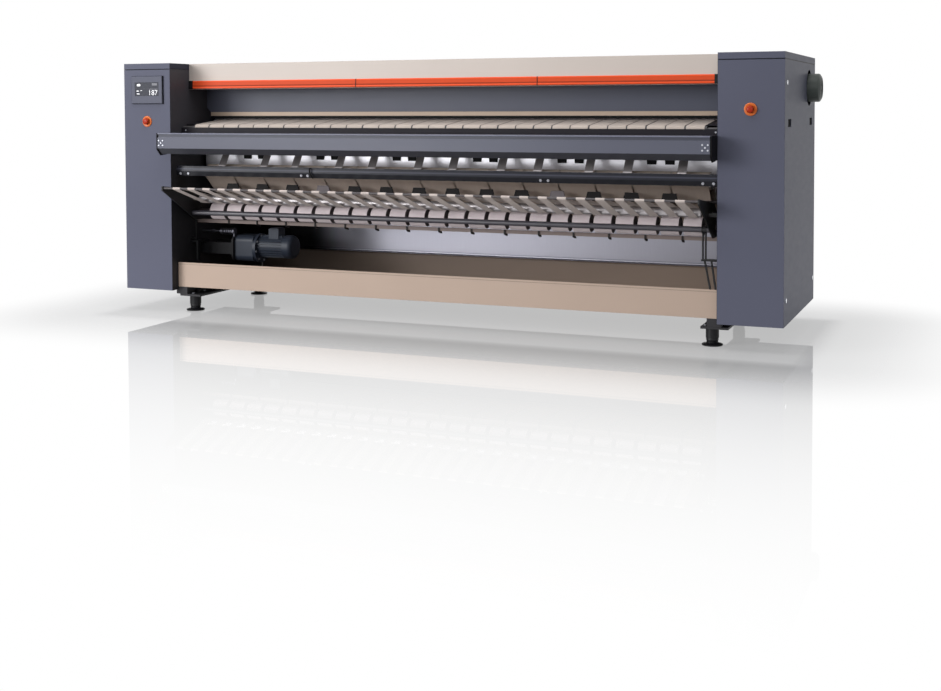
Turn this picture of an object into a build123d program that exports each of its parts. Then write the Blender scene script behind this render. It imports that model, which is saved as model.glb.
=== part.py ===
"""Flatwork ironer: a heated cylinder wrapped by ironing belts between two end cabinets.

Linen goes in over the feed belts at the front, round the cylinder under the ironing belts, and
comes out at the lower front on to the sloping return rack. X runs along the machine from
mid-span, Y runs back from the front faces of the cabinets and Z up from the floor, all in
millimetres. The saved parts are moved so that the origin is at the middle of the floor area.
"""

from build123d import *
import math
import os

os.makedirs("parts", exist_ok=True)

# Casing and side frames
overall_width = 4000.0
cabinet_width = 336.0
cabinet_bottom = 138.0
lid_height = 36.0
casing_sheet = 2.0
casing_seam = 0.8
panel_flange = 20.0
frame_plate = 12.0
face_gap = 0.3

# Recessed grips and lock heads of the removable side panels
grip_width = 100.0
grip_height = 40.0
grip_depth = 26.0
grip_z = 1163.0
grip_inset = 156.0
lock_across = 26.0
lock_height = 4.0
lock_inset_y = 62.0
lock_low_z = 268.0
lock_high_drop = 154.0

# Base beams, foot plates and levelling feet
beam_width = 64.0
beam_bottom = 112.0
beam_inset = 60.0
foot_inset = 55.0
foot_front_y = 161.0
foot_rear_y = 893.0
foot_plate_width = 144.0
foot_plate_ahead = 100.0
foot_plate_behind = 230.0
foot_plate_shift = 30.0
foot_plate = 12.0
foot_gusset = 30.0
foot_gusset_thick = 8.0
pad_radius = 55.0
pad_height = 9.0
stud_radius = 31.0
stud_top = 40.0
sleeve_radius = 34.5

# Heated cylinder, its journals and its heating core
cylinder_radius = 300.0
cylinder_wall = 12.0
cylinder_y = 645.0
cylinder_z = 955.0
cylinder_gap = 14.0
end_disc = 20.0
journal_radius = 60.0
journal_wall = 18.0
journal_out = 84.0
bearing_size = 230.0
bearing_depth = 40.0
bearing_fit = 0.05
core_radius = 28.0
core_rods = 6
core_rod_radius = 12.0
core_rod_circle = 210.0
core_bracket = 40.0
core_bracket_thick = 8.0
core_bracket_reach = 330.0

# Ironing belts and the five rollers that they run on
belt_thick = 4.0
belt_gap = 0.3
belt_pitch = 210.0
belt_slit = 5.0
belt_roller_radius = 46.0
belt_roller_shaft = 18.0
entry_angle = 122.8
entry_clearance = 2.0
exit_roller_y = 278.0
exit_roller_z = 850.0
low_roller_y = 505.0
low_roller_z = 622.0
rear_roller_offset = 340.0
rear_low_z = 660.0
rear_high_z = 1215.0
rear_clearance = 49.0
roller_end_gap = 80.0
cylinder_chord = 15.0
roller_chord = 36.0

# Feed table, its belts and its two rollers
feed_nose_y = 140.0
feed_nose_z = 1130.0
feed_drive_y = 392.0
feed_drive_z = 1156.0
feed_roller_radius = 18.0
feed_roller_shaft = 10.0
feed_belt_thick = 1.7
feed_belt_pitch = 105.0
feed_belt_slit = 2.5
feed_chord = 45.0
table_thick = 3.0
table_end_gap = 30.0
apron_y = 114.0
apron_top = 1131.0
apron_bottom = 1098.0
apron_flange = 44.0

# Front rail and its end arms
rail_front = -141.0
rail_back = -58.0
rail_top = 1101.0
rail_bottom = 976.0
rail_wall = 3.0
rail_lip = 7.0
rail_groove = 19.0
rail_groove_depth = 5.0
rail_chamfer_y = 36.0
rail_chamfer_z = 34.0
arm_thick = 8.0
arm_reach = 110.0
arm_drop = 8.0

# Guard with windows in front of the cylinder, and the scraper bar behind it
tab_pair_pitch = 514.0
wide_window = 248.0
tab_width = 49.0
guard_sheet = 2.5
guard_foot_y = 203.0
guard_foot_z = 891.0
guard_lean = 35.0
tab_length = 112.0
guard_length = 190.0
guard_lip = 13.0
scraper_bar = 20.0
scraper_bar_z = 1000.0
scraper_gap = 1.0
shoe_thick = 5.0
shoe_spacing = 101.0
shoe_bottom_z = 934.0
shoe_top_width = 62.0
shoe_foot_width = 50.0

# Lower cross beam
cross_beam_y = 55.0
cross_beam_top = 897.0
cross_beam_bottom = 838.0
cross_beam_depth = 60.0
cross_beam_crease = 8.0
cross_beam_wall = 3.0

# Combs that keep the ironing belts apart
comb_y = 215.0
comb_top_z = 786.0
comb_bar_radius = 8.0
comb_bar_z = 743.0
comb_thick = 3.0
comb_top_width = 72.0
comb_foot_width = 96.0

# Return rack: side plates, tape rollers, tapes
rack_plate_inset = 61.0
rack_plate = 8.0
rack_edge = 13.0
rack_heel_y = 170.0
rack_back_y = 275.0
rack_bottom = 560.0
rack_shoulder_z = 665.0
rack_crown_y = 190.0
rack_crown_z = 742.0
rack_boss_radius = 12.0
rack_boss_y = 60.0
rack_boss_z = 690.0
tube_y = -158.0
tube_z = 774.0
tube_radius = 6.0
tape_roller_y = 150.0
tape_roller_z = 692.0
tape_roller_radius = 24.0
tape_roller_shaft = 10.0
tape_thick = 1.0
tape_pitch = 104.2
tape_width = 50.0
tape_chord = 60.0

# Segmented roller, rack rod and the strip under them
segment_roller_y = 225.0
segment_roller_z = 613.0
segment_radius = 50.0
segment_pitch = 123.1
segment_slit = 22.0
segment_shift = 20.0
segment_shaft = 30.0
segment_sides = 16
shaft_sides = 8
rack_rod_radius = 15.0
rack_rod_y = 140.0
rack_rod_z = 607.0
strip_y = 262.0
strip_top = 557.0
strip_bottom = 535.0
strip_sheet = 2.0
strip_depth = 30.0
hook_pitch = 203.6
hook_thick = 8.0
hook_height = 8.0
hook_reach = 36.0
hook_drop = 17.0
hook_point = 6.0

# Stays of the rack at both ends
stay_inset = 94.5
stay_spacing = 15.0
stay_radius = 5.0
stay_eye_wall = 5.0
stay_bracket_z = 447.0
stay_bracket_inset = 108.0
stay_bracket_depth = 30.0
stay_leg_insets = ((90.0, 47.0), (55.0, 19.0))
stay_leg_width = 9.0
left_post_inset = 42.0
left_post_y = 200.0
left_post_width = 10.0
left_post_top = 556.0
left_bracket_z = 440.0

# Hood, finger guard and orange trim bar
hood_front = 201.0
hood_flange_drop = 156.0
trim_depth = 9.0
trim_bottom_drop = 154.0
trim_top_drop = 105.0
trim_joint_left = -501.0
trim_joint_right = 624.0
trim_joint = 5.0
trim_end = 12.0
trim_ridge = 13.0
trim_step = 2.0
flap_y = 385.0
flap_sheet = 2.0
flap_bottom = 1224.0
flap_length = 168.0
flap_hinge_drop = 130.0
flap_hinge_radius = 6.0
flap_hinge_wall = 3.0
flap_hinge_fit = 0.1
flap_corner = 27.0
flap_side_gap = 4.0
flap_front_gap = 5.0

# Trough and the stainless liner behind it
trough_front = 60.0
trough_back_inset = 51.0
trough_top = 306.0
trough_bottom = 156.0
trough_sheet = 2.0
trough_hem = 10.0
trough_side_gap = 3.0
liner_inset = 76.0
liner_rise = 6.0
liner_top = 596.0
liner_sheet = 2.0
liner_lip = 14.0

# Gearmotor, its frame, and the chain drive in the left cabinet
motor_y = 400.0
motor_rise = 68.0
gearbox_inset = 240.0
gearbox_length = 130.0
gearbox_size = 162.0
gearbox_fillet = 38.0
motor_lift = 12.0
motor_radius = 73.0
motor_inset = 630.0
motor_cowl = 60.0
motor_cowl_wall = 3.0
motor_cowl_dome = 24.0
motor_fin_height = 7.0
motor_fin_thick = 3.0
motor_fin_count = 24
terminal_inset = 462.0
terminal_length = 70.0
terminal_width = 80.0
terminal_rise = 193.0
output_radius = 17.5
motor_flange_radius = 90.0
motor_flange_thick = 22.0
output_depth = 60.0
motor_bracket = 12.0
motor_arm = 36.0
motor_brace_inset = 47.0
motor_brace_rise = 123.0
sprocket_thick = 12.0
chain_pitch = 31.75
cylinder_teeth = 38
motor_teeth = 13
tooth_depth = 14.0
sprocket_out = 62.0
chain_plate = 3.0
chain_height = 24.0
chain_pins = 6
chain_pin_radius = 6.0

# Exhaust fan in the right cabinet
fan_inset_y = 230.0
fan_drop = 172.0
fan_hole_radius = 100.0
fan_motor_radius = 78.5
fan_motor_reach = 68.0
fan_motor_chamfer = 12.0
fan_left_inset = 285.0
fan_right_inset = 115.0
fan_scroll_radius = 118.0
fan_wall = 3.0
fan_outlet_height = 153.0
fan_outlet_inset = 70.0
fan_inlet_radius = 75.0
wheel_radius = 96.0
wheel_disc = 3.0
wheel_blades = 10
wheel_blade_length = 34.0
wheel_blade_width = 90.0
wheel_hub_radius = 20.0
fan_shaft_radius = 10.0
spigot_radius = 75.0
spigot_out = 60.0
spigot_neck = 2.0
spigot_step = 1.0

# Operating pieces on the front faces
screen_left_inset = 89.0
screen_right_inset = 264.0
screen_bottom_drop = 198.0
screen_top_drop = 115.0
bezel_left_inset = 62.0
bezel_right_inset = 289.0
bezel_bottom_drop = 246.0
bezel_top_drop = 76.0
bezel_proud = 14.0
bezel_edge = 5.0
screen_recess = 2.0
screen_thick = 6.0
bezel_body_depth = 34.0
stop_left_inset = 168.0
stop_left_drop = 353.0
stop_right_inset = 169.0
stop_right_drop = 288.0
collar_radius = 33.0
collar_height = 6.0
collar_body_radius = 14.0
collar_body_depth = 40.0
collar_hole_fit = 0.4
button_radius = 19.5
button_back = 13.0
button_height = 17.0
button_stem_radius = 7.0
button_stem_fit = 0.08
button_stem_depth = 30.0

# Hexagon fasteners
bolt_across = 14.0
bolt_height = 5.0
screw_across = 9.0
screw_height = 3.0
screw_spread = 14.0
rail_screw_inset = 32.0
foot_bolt_inset = 17.0
foot_bolt_offset = 60.0
beam_bolt_insets = (30.0, 86.0)
beam_bolt_places = (-790.0, -747.0, 694.0, 737.0)

# Places that follow from the sizes above
half_width = overall_width / 2
inner = half_width - cabinet_width
flap_hinge_z = flap_bottom + flap_length
cabinet_top = flap_hinge_z + flap_hinge_drop
lid_z = cabinet_top - lid_height
cylinder_half = inner - cylinder_gap
roller_half = inner - roller_end_gap
belt_run = belt_gap + belt_thick
entry_distance = cylinder_radius + belt_roller_radius + belt_run + belt_gap + entry_clearance
entry_roller_y = cylinder_y + entry_distance * math.cos(math.radians(entry_angle))
entry_roller_z = cylinder_z + entry_distance * math.sin(math.radians(entry_angle))
rear_roller_y = cylinder_y + rear_roller_offset
cabinet_depth = rear_roller_y + belt_roller_radius + rear_clearance
lock_high_z = cabinet_top - lock_high_drop
hood_flange_z = cabinet_top - hood_flange_drop
trim_bottom = cabinet_top - trim_bottom_drop
trim_top = cabinet_top - trim_top_drop
fan_z = cabinet_top - fan_drop
screen_bottom = cabinet_top - screen_bottom_drop
screen_top = cabinet_top - screen_top_drop
bezel_bottom = cabinet_top - bezel_bottom_drop
bezel_top = cabinet_top - bezel_top_drop
stop_left_z = cabinet_top - stop_left_drop
stop_right_z = cabinet_top - stop_right_drop
fan_left = half_width - fan_left_inset
fan_right = half_width - fan_right_inset
stop_right_x = half_width - stop_right_inset
stop_left_x = stop_left_inset - half_width
screen_left = screen_left_inset - half_width
screen_right = screen_right_inset - half_width
bezel_left = bezel_left_inset - half_width
bezel_right = bezel_right_inset - half_width
rack_plate_x = inner - rack_plate_inset
stay_x = inner - stay_inset
stay_bracket_left = inner - stay_bracket_inset
rail_screw_x = inner - rail_screw_inset
gearbox_left = gearbox_inset - inner
motor_right = motor_inset - inner
terminal_left = terminal_inset - inner
motor_brace_x = motor_brace_inset - inner
left_post_x = left_post_inset - inner
trough_back = cabinet_depth - trough_back_inset
liner_y = cabinet_depth - liner_inset
fan_y = cabinet_depth - fan_inset_y
fan_outlet_back = cabinet_depth - fan_outlet_inset
motor_z = trough_top + motor_rise
terminal_top = trough_top + terminal_rise
motor_brace_z = trough_top + motor_brace_rise
liner_bottom = trough_top + liner_rise
fan_motor_face = half_width + fan_motor_reach
spigot_end = cabinet_depth + spigot_out
x_mid = (fan_motor_face - half_width - lock_height) / 2
y_mid = (tube_y - rack_edge + spigot_end) / 2

# Numbers of pieces in the rows that fill the width
belt_count = int(2 * roller_half / belt_pitch)
feed_belt_count = int(2 * roller_half / feed_belt_pitch)
tape_count = int((2 * rack_plate_x - 3 * tape_width) / tape_pitch) + 1
segment_count = int((2 * roller_half - segment_pitch + segment_slit) / segment_pitch) + 1
hook_count = int(2 * roller_half / hook_pitch)
tab_pairs = int(2 * inner / tab_pair_pitch)

# Rollers that turn in the side frames: y, z, radius of the barrel, radius of the shaft
turning = {
    "belt_roller_entry": (entry_roller_y, entry_roller_z, belt_roller_radius, belt_roller_shaft),
    "belt_roller_exit": (exit_roller_y, exit_roller_z, belt_roller_radius, belt_roller_shaft),
    "belt_roller_low": (low_roller_y, low_roller_z, belt_roller_radius, belt_roller_shaft),
    "belt_roller_rear_low": (rear_roller_y, rear_low_z, belt_roller_radius, belt_roller_shaft),
    "belt_roller_rear_high": (rear_roller_y, rear_high_z, belt_roller_radius, belt_roller_shaft),
    "feed_nose_roller": (feed_nose_y, feed_nose_z, feed_roller_radius, feed_roller_shaft),
    "feed_drive_roller": (feed_drive_y, feed_drive_z, feed_roller_radius, feed_roller_shaft),
}


def save(name, *shapes):
    """Writes the solids of one sub-part, moved to the part's own origin."""
    shift = Location((-x_mid, -y_mid, 0))
    solids = [solid.moved(shift) for shape in shapes for solid in shape.solids()]
    export_step(Compound(children=solids) if len(solids) > 1 else solids[0], f"parts/{name}.step")


def block(x0, x1, y0, y1, z0, z1):
    """A box between two corners."""
    place = Pos((x0 + x1) / 2, (y0 + y1) / 2, (z0 + z1) / 2)
    return place * Box(abs(x1 - x0), abs(y1 - y0), abs(z1 - z0))


def prism_x(points, x0, x1):
    """A Y-Z outline carried along X from x0 to x1."""
    outline = make_face(Polyline(*points, close=True))
    return extrude(Plane.YZ.offset(x0) * outline, amount=x1 - x0)


def prism_y(points, y0, y1):
    """An X-Z outline carried along Y from y0 to y1."""
    outline = make_face(Polyline(*points, close=True))
    return extrude(Plane.XZ.offset(-y1) * outline, amount=y1 - y0)


def rod_x(y, z, radius, x0, x1):
    """A round bar along X."""
    return extrude(Plane.YZ.offset(x0) * Pos(y, z) * Circle(radius), amount=x1 - x0)


def rod_y(x, z, radius, y0, y1):
    """A round bar along Y."""
    return extrude(Plane.XZ.offset(-y1) * Pos(x, z) * Circle(radius), amount=y1 - y0)


def bent_sheet(points, thickness):
    """The outline of a folded sheet: the given face line and its parallel, to the left of it."""

    def left_normal(a, b):
        length = math.dist(a, b)
        return ((a[1] - b[1]) / length, (b[0] - a[0]) / length)

    normals = [left_normal(a, b) for a, b in zip(points, points[1:])]
    parallel = []
    for i, (y, z) in enumerate(points):
        before, after = normals[max(i - 1, 0)], normals[min(i, len(normals) - 1)]
        share = thickness / (1 + before[0] * after[0] + before[1] * after[1])
        parallel.append((y + share * (before[0] + after[0]), z + share * (before[1] + after[1])))
    return list(points) + parallel[::-1]


def loop_points(pulleys):
    """The outline of an endless belt round pulleys (y, z, radius, turn, chord), turn +1 or -1.

    Each wrap is cut into chords that are tangent to the pulley, about `chord` degrees each, so
    the belt clears the pulley everywhere and its straight runs leave it without a kink.
    """
    count = len(pulleys)
    headings = []
    for i in range(count):
        y0, z0, r0, turn0, _ = pulleys[i]
        y1, z1, r1, turn1, _ = pulleys[(i + 1) % count]
        lean = math.asin((turn1 * r1 - turn0 * r0) / math.dist((y0, z0), (y1, z1)))
        headings.append(math.atan2(z1 - z0, y1 - y0) - lean)
    points = []
    for i, (y, z, radius, turn, chord) in enumerate(pulleys):
        sweep = turn * (headings[i] - headings[i - 1]) % (2 * math.pi)
        chords = max(1, round(sweep / math.radians(chord)))
        step = sweep / chords
        corner = radius / math.cos(step / 2)
        start = headings[i - 1] - turn * math.pi / 2
        for k in range(chords):
            angle = start + turn * (k + 0.5) * step
            points.append((y + corner * math.cos(angle), z + corner * math.sin(angle)))
    return points


def belt(pulleys, thickness, x0, x1):
    """An endless belt of one thickness; a pulley with turn -1 lies outside the loop."""
    outside = [(y, z, r + thickness if turn > 0 else r, turn, c) for y, z, r, turn, c in pulleys]
    inside = [(y, z, r if turn > 0 else r + thickness, turn, c) for y, z, r, turn, c in pulleys]
    ring = make_face(Polyline(*loop_points(outside), close=True))
    ring -= make_face(Polyline(*loop_points(inside), close=True))
    return extrude(Plane.YZ.offset(x0) * ring, amount=x1 - x0)


def row(count, pitch):
    """Places of a centred row."""
    return [pitch * (k - (count - 1) / 2) for k in range(count)]


def roller(y, z, radius, half_length, shaft_radius, shaft_half):
    """A roller with its through shaft."""
    barrel = rod_x(y, z, radius, -half_length, half_length)
    return barrel + rod_x(y, z, shaft_radius, -shaft_half, shaft_half)


def mirrored(shape):
    """The same piece at the other end of the machine."""
    return mirror(shape, Plane.YZ)


# Side frames: the plate that carries every cross piece, with the base beam and foot plates
def side_frame(plate_shift):
    plate = block(inner, inner + frame_plate, casing_sheet, cabinet_depth - casing_sheet,
                  cabinet_bottom, lid_z)
    beam = block(inner - beam_width, inner, beam_inset, cabinet_depth - beam_inset,
                 beam_bottom, trough_bottom)
    beam += block(inner, inner + frame_plate, beam_inset, cabinet_depth - beam_inset,
                  beam_bottom, cabinet_bottom)
    frame = plate + beam
    plate_x = inner - foot_inset + plate_shift
    for y, low_y, high_y in (
            (foot_front_y, foot_front_y - foot_plate_ahead, foot_front_y + foot_plate_behind),
            (foot_rear_y, foot_rear_y - foot_plate_behind, foot_rear_y + foot_plate_ahead)):
        frame += block(plate_x - foot_plate_width / 2, plate_x + foot_plate_width / 2,
                       low_y, high_y, beam_bottom - foot_plate, beam_bottom)
        frame += prism_y([(inner - foot_gusset - beam_width, beam_bottom),
                          (inner - beam_width, beam_bottom), (inner - beam_width, trough_bottom - 2)],
                         y - foot_gusset_thick / 2, y + foot_gusset_thick / 2)
    holes = [(y, z, shaft + bearing_fit) for y, z, _, shaft in turning.values()]
    holes.append((cylinder_y, cylinder_z, journal_radius + frame_plate))
    holes.append((segment_roller_y, segment_roller_z, segment_shaft / 2 + bearing_fit))
    for y, z, radius in holes:
        frame -= rod_x(y, z, radius, inner - 1, inner + frame_plate + 1)
    return frame


right_frame = side_frame(foot_plate_shift)
right_frame -= rod_x(fan_y, fan_z, fan_inlet_radius, inner - 1, inner + frame_plate + 1)
left_frame = mirrored(side_frame(-foot_plate_shift))
left_frame -= rod_x(motor_y, motor_z, output_radius + bearing_fit, -inner - frame_plate - 1,
                    1 - inner)
save("side_frame_right", right_frame)
save("side_frame_left", left_frame)


# Cabinet casings: front, rear and floor of folded sheet, open at the outer side and the top
def cabinet():
    walls = block(inner, half_width, 0, cabinet_depth, cabinet_bottom, lid_z)
    walls -= block(inner - 1, half_width + 1, casing_sheet, cabinet_depth - casing_sheet,
                   cabinet_bottom + casing_sheet, lid_z + 1)
    return walls - block(inner - 1, inner + frame_plate, casing_sheet,
                         cabinet_depth - casing_sheet, cabinet_bottom - 1, lid_z)


stop_hole = collar_body_radius + collar_hole_fit
right_casing = cabinet() - rod_y(stop_right_x, stop_right_z, stop_hole, -1, casing_sheet + 1)
spigot_z = fan_z - fan_scroll_radius + fan_outlet_height / 2
spigot_x = (fan_left + fan_right) / 2
right_casing -= rod_y(spigot_x, spigot_z, spigot_radius - spigot_step + face_gap,
                      cabinet_depth - casing_sheet - 1, cabinet_depth + 1)
left_casing = mirrored(cabinet()) - rod_y(stop_left_x, stop_left_z, stop_hole, -1, casing_sheet + 1)
left_casing -= block(screen_left, screen_right, -1, casing_sheet + 1, screen_bottom, screen_top)
save("cabinet_right", right_casing)
save("cabinet_left", left_casing)


# Lids: shallow pans that sit on the cabinets
def top_lid():
    pan = block(inner, half_width, 0, cabinet_depth, lid_z + casing_seam, cabinet_top)
    return pan - block(inner + casing_sheet, half_width - casing_sheet, casing_sheet,
                       cabinet_depth - casing_sheet, lid_z, cabinet_top - casing_sheet)


save("top_lid_right", top_lid())
save("top_lid_left", mirrored(top_lid()))


# Side panels: lift-off doors with return flanges and two recessed grips
def side_panel():
    front = casing_sheet + casing_seam
    back = cabinet_depth - front
    low = cabinet_bottom + casing_sheet + casing_seam
    panel = block(half_width - panel_flange, half_width, front, back, low, lid_z)
    panel -= block(half_width - panel_flange - 1, half_width - casing_sheet, front + casing_sheet,
                   back - casing_sheet, low + casing_sheet, lid_z - casing_sheet)
    for y in (grip_inset, cabinet_depth - grip_inset):
        low_y, high_y = y - grip_width / 2, y + grip_width / 2
        low_z, high_z = grip_z - grip_height / 2, grip_z + grip_height / 2
        panel += block(half_width - grip_depth, half_width, low_y - casing_sheet,
                       high_y + casing_sheet, low_z - casing_sheet, high_z + casing_sheet)
        panel -= block(half_width - grip_depth + casing_sheet, half_width + 1, low_y, high_y,
                       low_z, high_z)
    return panel


right_panel = side_panel() - rod_x(fan_y, fan_z, fan_hole_radius, half_width - grip_depth,
                                   half_width + 1)
save("side_panel_right", right_panel)
save("side_panel_left", mirrored(side_panel()))

locks = []
for y in (lock_inset_y, cabinet_depth - lock_inset_y):
    for z in (lock_low_z, lock_high_z):
        head = Plane.YZ.offset(half_width) * Pos(y, z) * RegularPolygon(lock_across / 2, 8)
        locks.append(extrude(head, amount=lock_height))
save("panel_locks", *locks, *[mirrored(lock) for lock in locks])


# Levelling feet: a flat pad, a stud and the sleeve under each foot plate
foot_profile = [(0, 0), (pad_radius, 0), (pad_radius, pad_height), (stud_radius, pad_height + 3),
                (stud_radius, stud_top), (sleeve_radius, stud_top),
                (sleeve_radius, beam_bottom - foot_plate), (0, beam_bottom - foot_plate)]
foot = revolve(Plane.XZ * make_face(Polyline(*foot_profile, close=True)), Axis.Z)
foot_x = inner - foot_inset
save("levelling_feet", *[Pos(x, y, 0) * foot
                         for x in (-foot_x, foot_x) for y in (foot_front_y, foot_rear_y)])


# Heated cylinder: shell, end discs and hollow journals
def heated_cylinder():
    journal_end = inner + journal_out
    turned = rod_x(cylinder_y, cylinder_z, cylinder_radius, -cylinder_half, cylinder_half)
    turned -= rod_x(cylinder_y, cylinder_z, cylinder_radius - cylinder_wall,
                    end_disc - cylinder_half, cylinder_half - end_disc)
    turned += rod_x(cylinder_y, cylinder_z, journal_radius, cylinder_half, journal_end)
    turned += rod_x(cylinder_y, cylinder_z, journal_radius, -journal_end, -cylinder_half)
    return turned - rod_x(cylinder_y, cylinder_z, journal_radius - journal_wall,
                          -journal_end - 1, journal_end + 1)


save("heated_cylinder", heated_cylinder())

# Cylinder bearings: flanged housings on the outside of the side frames
bearing = block(inner + frame_plate, inner + frame_plate + bearing_depth,
                cylinder_y - bearing_size / 2, cylinder_y + bearing_size / 2,
                cylinder_z - bearing_size / 2, cylinder_z + bearing_size / 2)
bearing = fillet(bearing.edges().filter_by(Axis.X), bearing_size / 5)
bearing -= rod_x(cylinder_y, cylinder_z, journal_radius + bearing_fit, inner, half_width)
save("cylinder_bearings", bearing, mirrored(bearing))


# Heating core: a fixed tube through the journals that carries the heating rods
def heater_core():
    bracket_x = inner + journal_out + core_bracket
    core = rod_x(cylinder_y, cylinder_z, core_radius, -bracket_x, bracket_x)
    spider_x = cylinder_half - 5 * end_disc
    for side in (-spider_x, spider_x):
        core += rod_x(cylinder_y, cylinder_z, core_rod_circle + 2 * core_rod_radius,
                      side - core_rod_radius, side + core_rod_radius)
    for k in range(core_rods):
        angle = 2 * math.pi * k / core_rods
        core += rod_x(cylinder_y + core_rod_circle * math.cos(angle),
                      cylinder_z + core_rod_circle * math.sin(angle),
                      core_rod_radius, -spider_x, spider_x)
    foot_z = cylinder_z + core_bracket_reach
    for sign in (-1, 1):
        low_y, high_y = cylinder_y - core_bracket / 2, cylinder_y + core_bracket / 2
        core += block(sign * bracket_x, sign * (bracket_x - core_bracket_thick), low_y, high_y,
                      foot_z, cylinder_z)
        core += block(sign * bracket_x, sign * (inner + frame_plate), low_y, high_y,
                      foot_z, foot_z + core_bracket_thick)
    return core


save("heater_core", heater_core())


# Chain drive: toothed wheels on the left journal and on the gearmotor's shaft
def sprocket(y, z, teeth, bore):
    pitch_radius = chain_pitch / (2 * math.sin(math.pi / teeth))
    points = []
    for k in range(2 * teeth):
        radius = pitch_radius + (tooth_depth / 2 if k % 2 == 0 else -tooth_depth / 2)
        angle = math.pi * k / teeth
        points.append((y + radius * math.cos(angle), z + radius * math.sin(angle)))
    left = -inner - sprocket_out - sprocket_thick
    return prism_x(points, left, left + sprocket_thick) - rod_x(y, z, bore, left - 1, -inner)


save("cylinder_sprocket", sprocket(cylinder_y, cylinder_z, cylinder_teeth, journal_radius))
drive_left = -inner - sprocket_out - sprocket_thick
output_shaft = rod_x(motor_y, motor_z, output_radius, drive_left, gearbox_left - face_gap)
save("drive_sprocket", sprocket(motor_y, motor_z, motor_teeth, output_radius) + output_shaft)


def drive_chain():
    """Two rows of link plates beside the teeth, joined by pins on the straight runs."""
    wheels = []
    for y, z, teeth, chord in ((cylinder_y, cylinder_z, cylinder_teeth, 24.0),
                               (motor_y, motor_z, motor_teeth, 45.0)):
        pitch_radius = chain_pitch / (2 * math.sin(math.pi / teeth))
        wheels.append((y, z, pitch_radius - chain_height / 2, 1, chord))
    inside = drive_left - face_gap
    chain = belt(wheels, chain_height, inside - chain_plate, inside)
    far = drive_left + sprocket_thick + face_gap
    chain += belt(wheels, chain_height, far, far + chain_plate)
    along_y, along_z = motor_y - cylinder_y, motor_z - cylinder_z
    span = math.hypot(along_y, along_z)
    big = chain_pitch / (2 * math.sin(math.pi / cylinder_teeth))
    small = chain_pitch / (2 * math.sin(math.pi / motor_teeth))
    for side in (-1, 1):
        for k in range(chain_pins // 2):
            share = 0.45 + 0.1 * k
            offset = side * (big + (small - big) * share) / math.cos(math.asin((big - small) / span))
            y = cylinder_y + along_y * share - offset * along_z / span
            z = cylinder_z + along_z * share + offset * along_y / span
            chain += rod_x(y, z, chain_pin_radius, inside - chain_plate, far + chain_plate)
    return chain


save("drive_chain", drive_chain())

# Rollers that turn in the side frames, and the ironing belts that run round five of them
for name, (y, z, radius, shaft) in turning.items():
    save(name, roller(y, z, radius, roller_half, shaft, inner + frame_plate))

loop = [(y, z, belt_roller_radius + belt_gap, 1, roller_chord)
        for name, (y, z, _, _) in turning.items() if name.startswith("belt")]
loop.insert(1, (cylinder_y, cylinder_z, cylinder_radius + belt_gap, -1, cylinder_chord))
belt_half = (belt_pitch - belt_slit) / 2
save("ironing_belts", *[belt(loop, belt_thick, x - belt_half, x + belt_half)
                        for x in row(belt_count, belt_pitch)])

# Feed table: the plate inside the feed belts, and the apron under their front edge
feed_length = math.dist((feed_nose_y, feed_nose_z), (feed_drive_y, feed_drive_z))
along = ((feed_drive_y - feed_nose_y) / feed_length, (feed_drive_z - feed_nose_z) / feed_length)
across = (-along[1], along[0])


def on_table(distance, height):
    """A point measured along and above the line between the two feed rollers."""
    return (feed_nose_y + distance * along[0] + height * across[0],
            feed_nose_z + distance * along[1] + height * across[1])


table_top = feed_roller_radius
table_far = feed_length - table_end_gap
table_points = [on_table(table_end_gap, table_top - table_thick),
                on_table(table_far, table_top - table_thick),
                on_table(table_far, table_top), on_table(table_end_gap, table_top)]
apron_points = bent_sheet([(apron_y + apron_flange, apron_bottom), (apron_y, apron_bottom),
                           (apron_y, apron_top)], -table_thick)
save("feed_table", prism_x(table_points, -inner, inner), prism_x(apron_points, -inner, inner))

feed_loop = [(feed_nose_y, feed_nose_z, feed_roller_radius + belt_gap, 1, feed_chord),
             (feed_drive_y, feed_drive_z, feed_roller_radius + belt_gap, 1, feed_chord)]
feed_belt_half = (feed_belt_pitch - feed_belt_slit) / 2
save("feed_belts", *[belt(feed_loop, feed_belt_thick, x - feed_belt_half, x + feed_belt_half)
                     for x in row(feed_belt_count, feed_belt_pitch)])

# Front rail: a hollow profile with a grooved face, carried by an arm at each end
groove_top = rail_top - rail_lip
groove_low = groove_top - rail_groove
rail_outline = [(rail_front, groove_top), (rail_front + rail_groove_depth, groove_top),
                (rail_front + rail_groove_depth, groove_low), (rail_front, groove_low),
                (rail_front, rail_bottom + rail_chamfer_z),
                (rail_front + rail_chamfer_y, rail_bottom), (rail_back, rail_bottom),
                (rail_back, rail_top), (rail_front, rail_top)]
rail_hollow = [(rail_front + rail_groove_depth + rail_wall, rail_top - rail_wall),
               (rail_front + rail_groove_depth + rail_wall, rail_bottom + rail_chamfer_z),
               (rail_front + rail_chamfer_y + rail_wall, rail_bottom + rail_wall),
               (rail_back - rail_wall, rail_bottom + rail_wall),
               (rail_back - rail_wall, rail_top - rail_wall)]
rail_half = inner - arm_thick
save("front_rail", prism_x(rail_outline, -rail_half, rail_half)
     - prism_x(rail_hollow, -rail_half - 1, rail_half + 1))

arm_outline = [(rail_front, rail_top), (rail_front, rail_bottom + rail_chamfer_z - arm_drop),
               (rail_front + rail_chamfer_y, rail_bottom - arm_drop),
               (arm_reach, rail_bottom - arm_drop + rail_chamfer_z / 2), (arm_reach, rail_top)]
arm = prism_x(arm_outline, rail_half, inner)
save("rail_arms", arm, mirrored(arm))

# Guard with windows: a leaning sheet whose tabs come down in front of the exit roller
lean = math.radians(guard_lean)


def on_guard(distance):
    """A point measured up the guard from its foot."""
    return (guard_foot_y + distance * math.sin(lean), guard_foot_z + distance * math.cos(lean))


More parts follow.
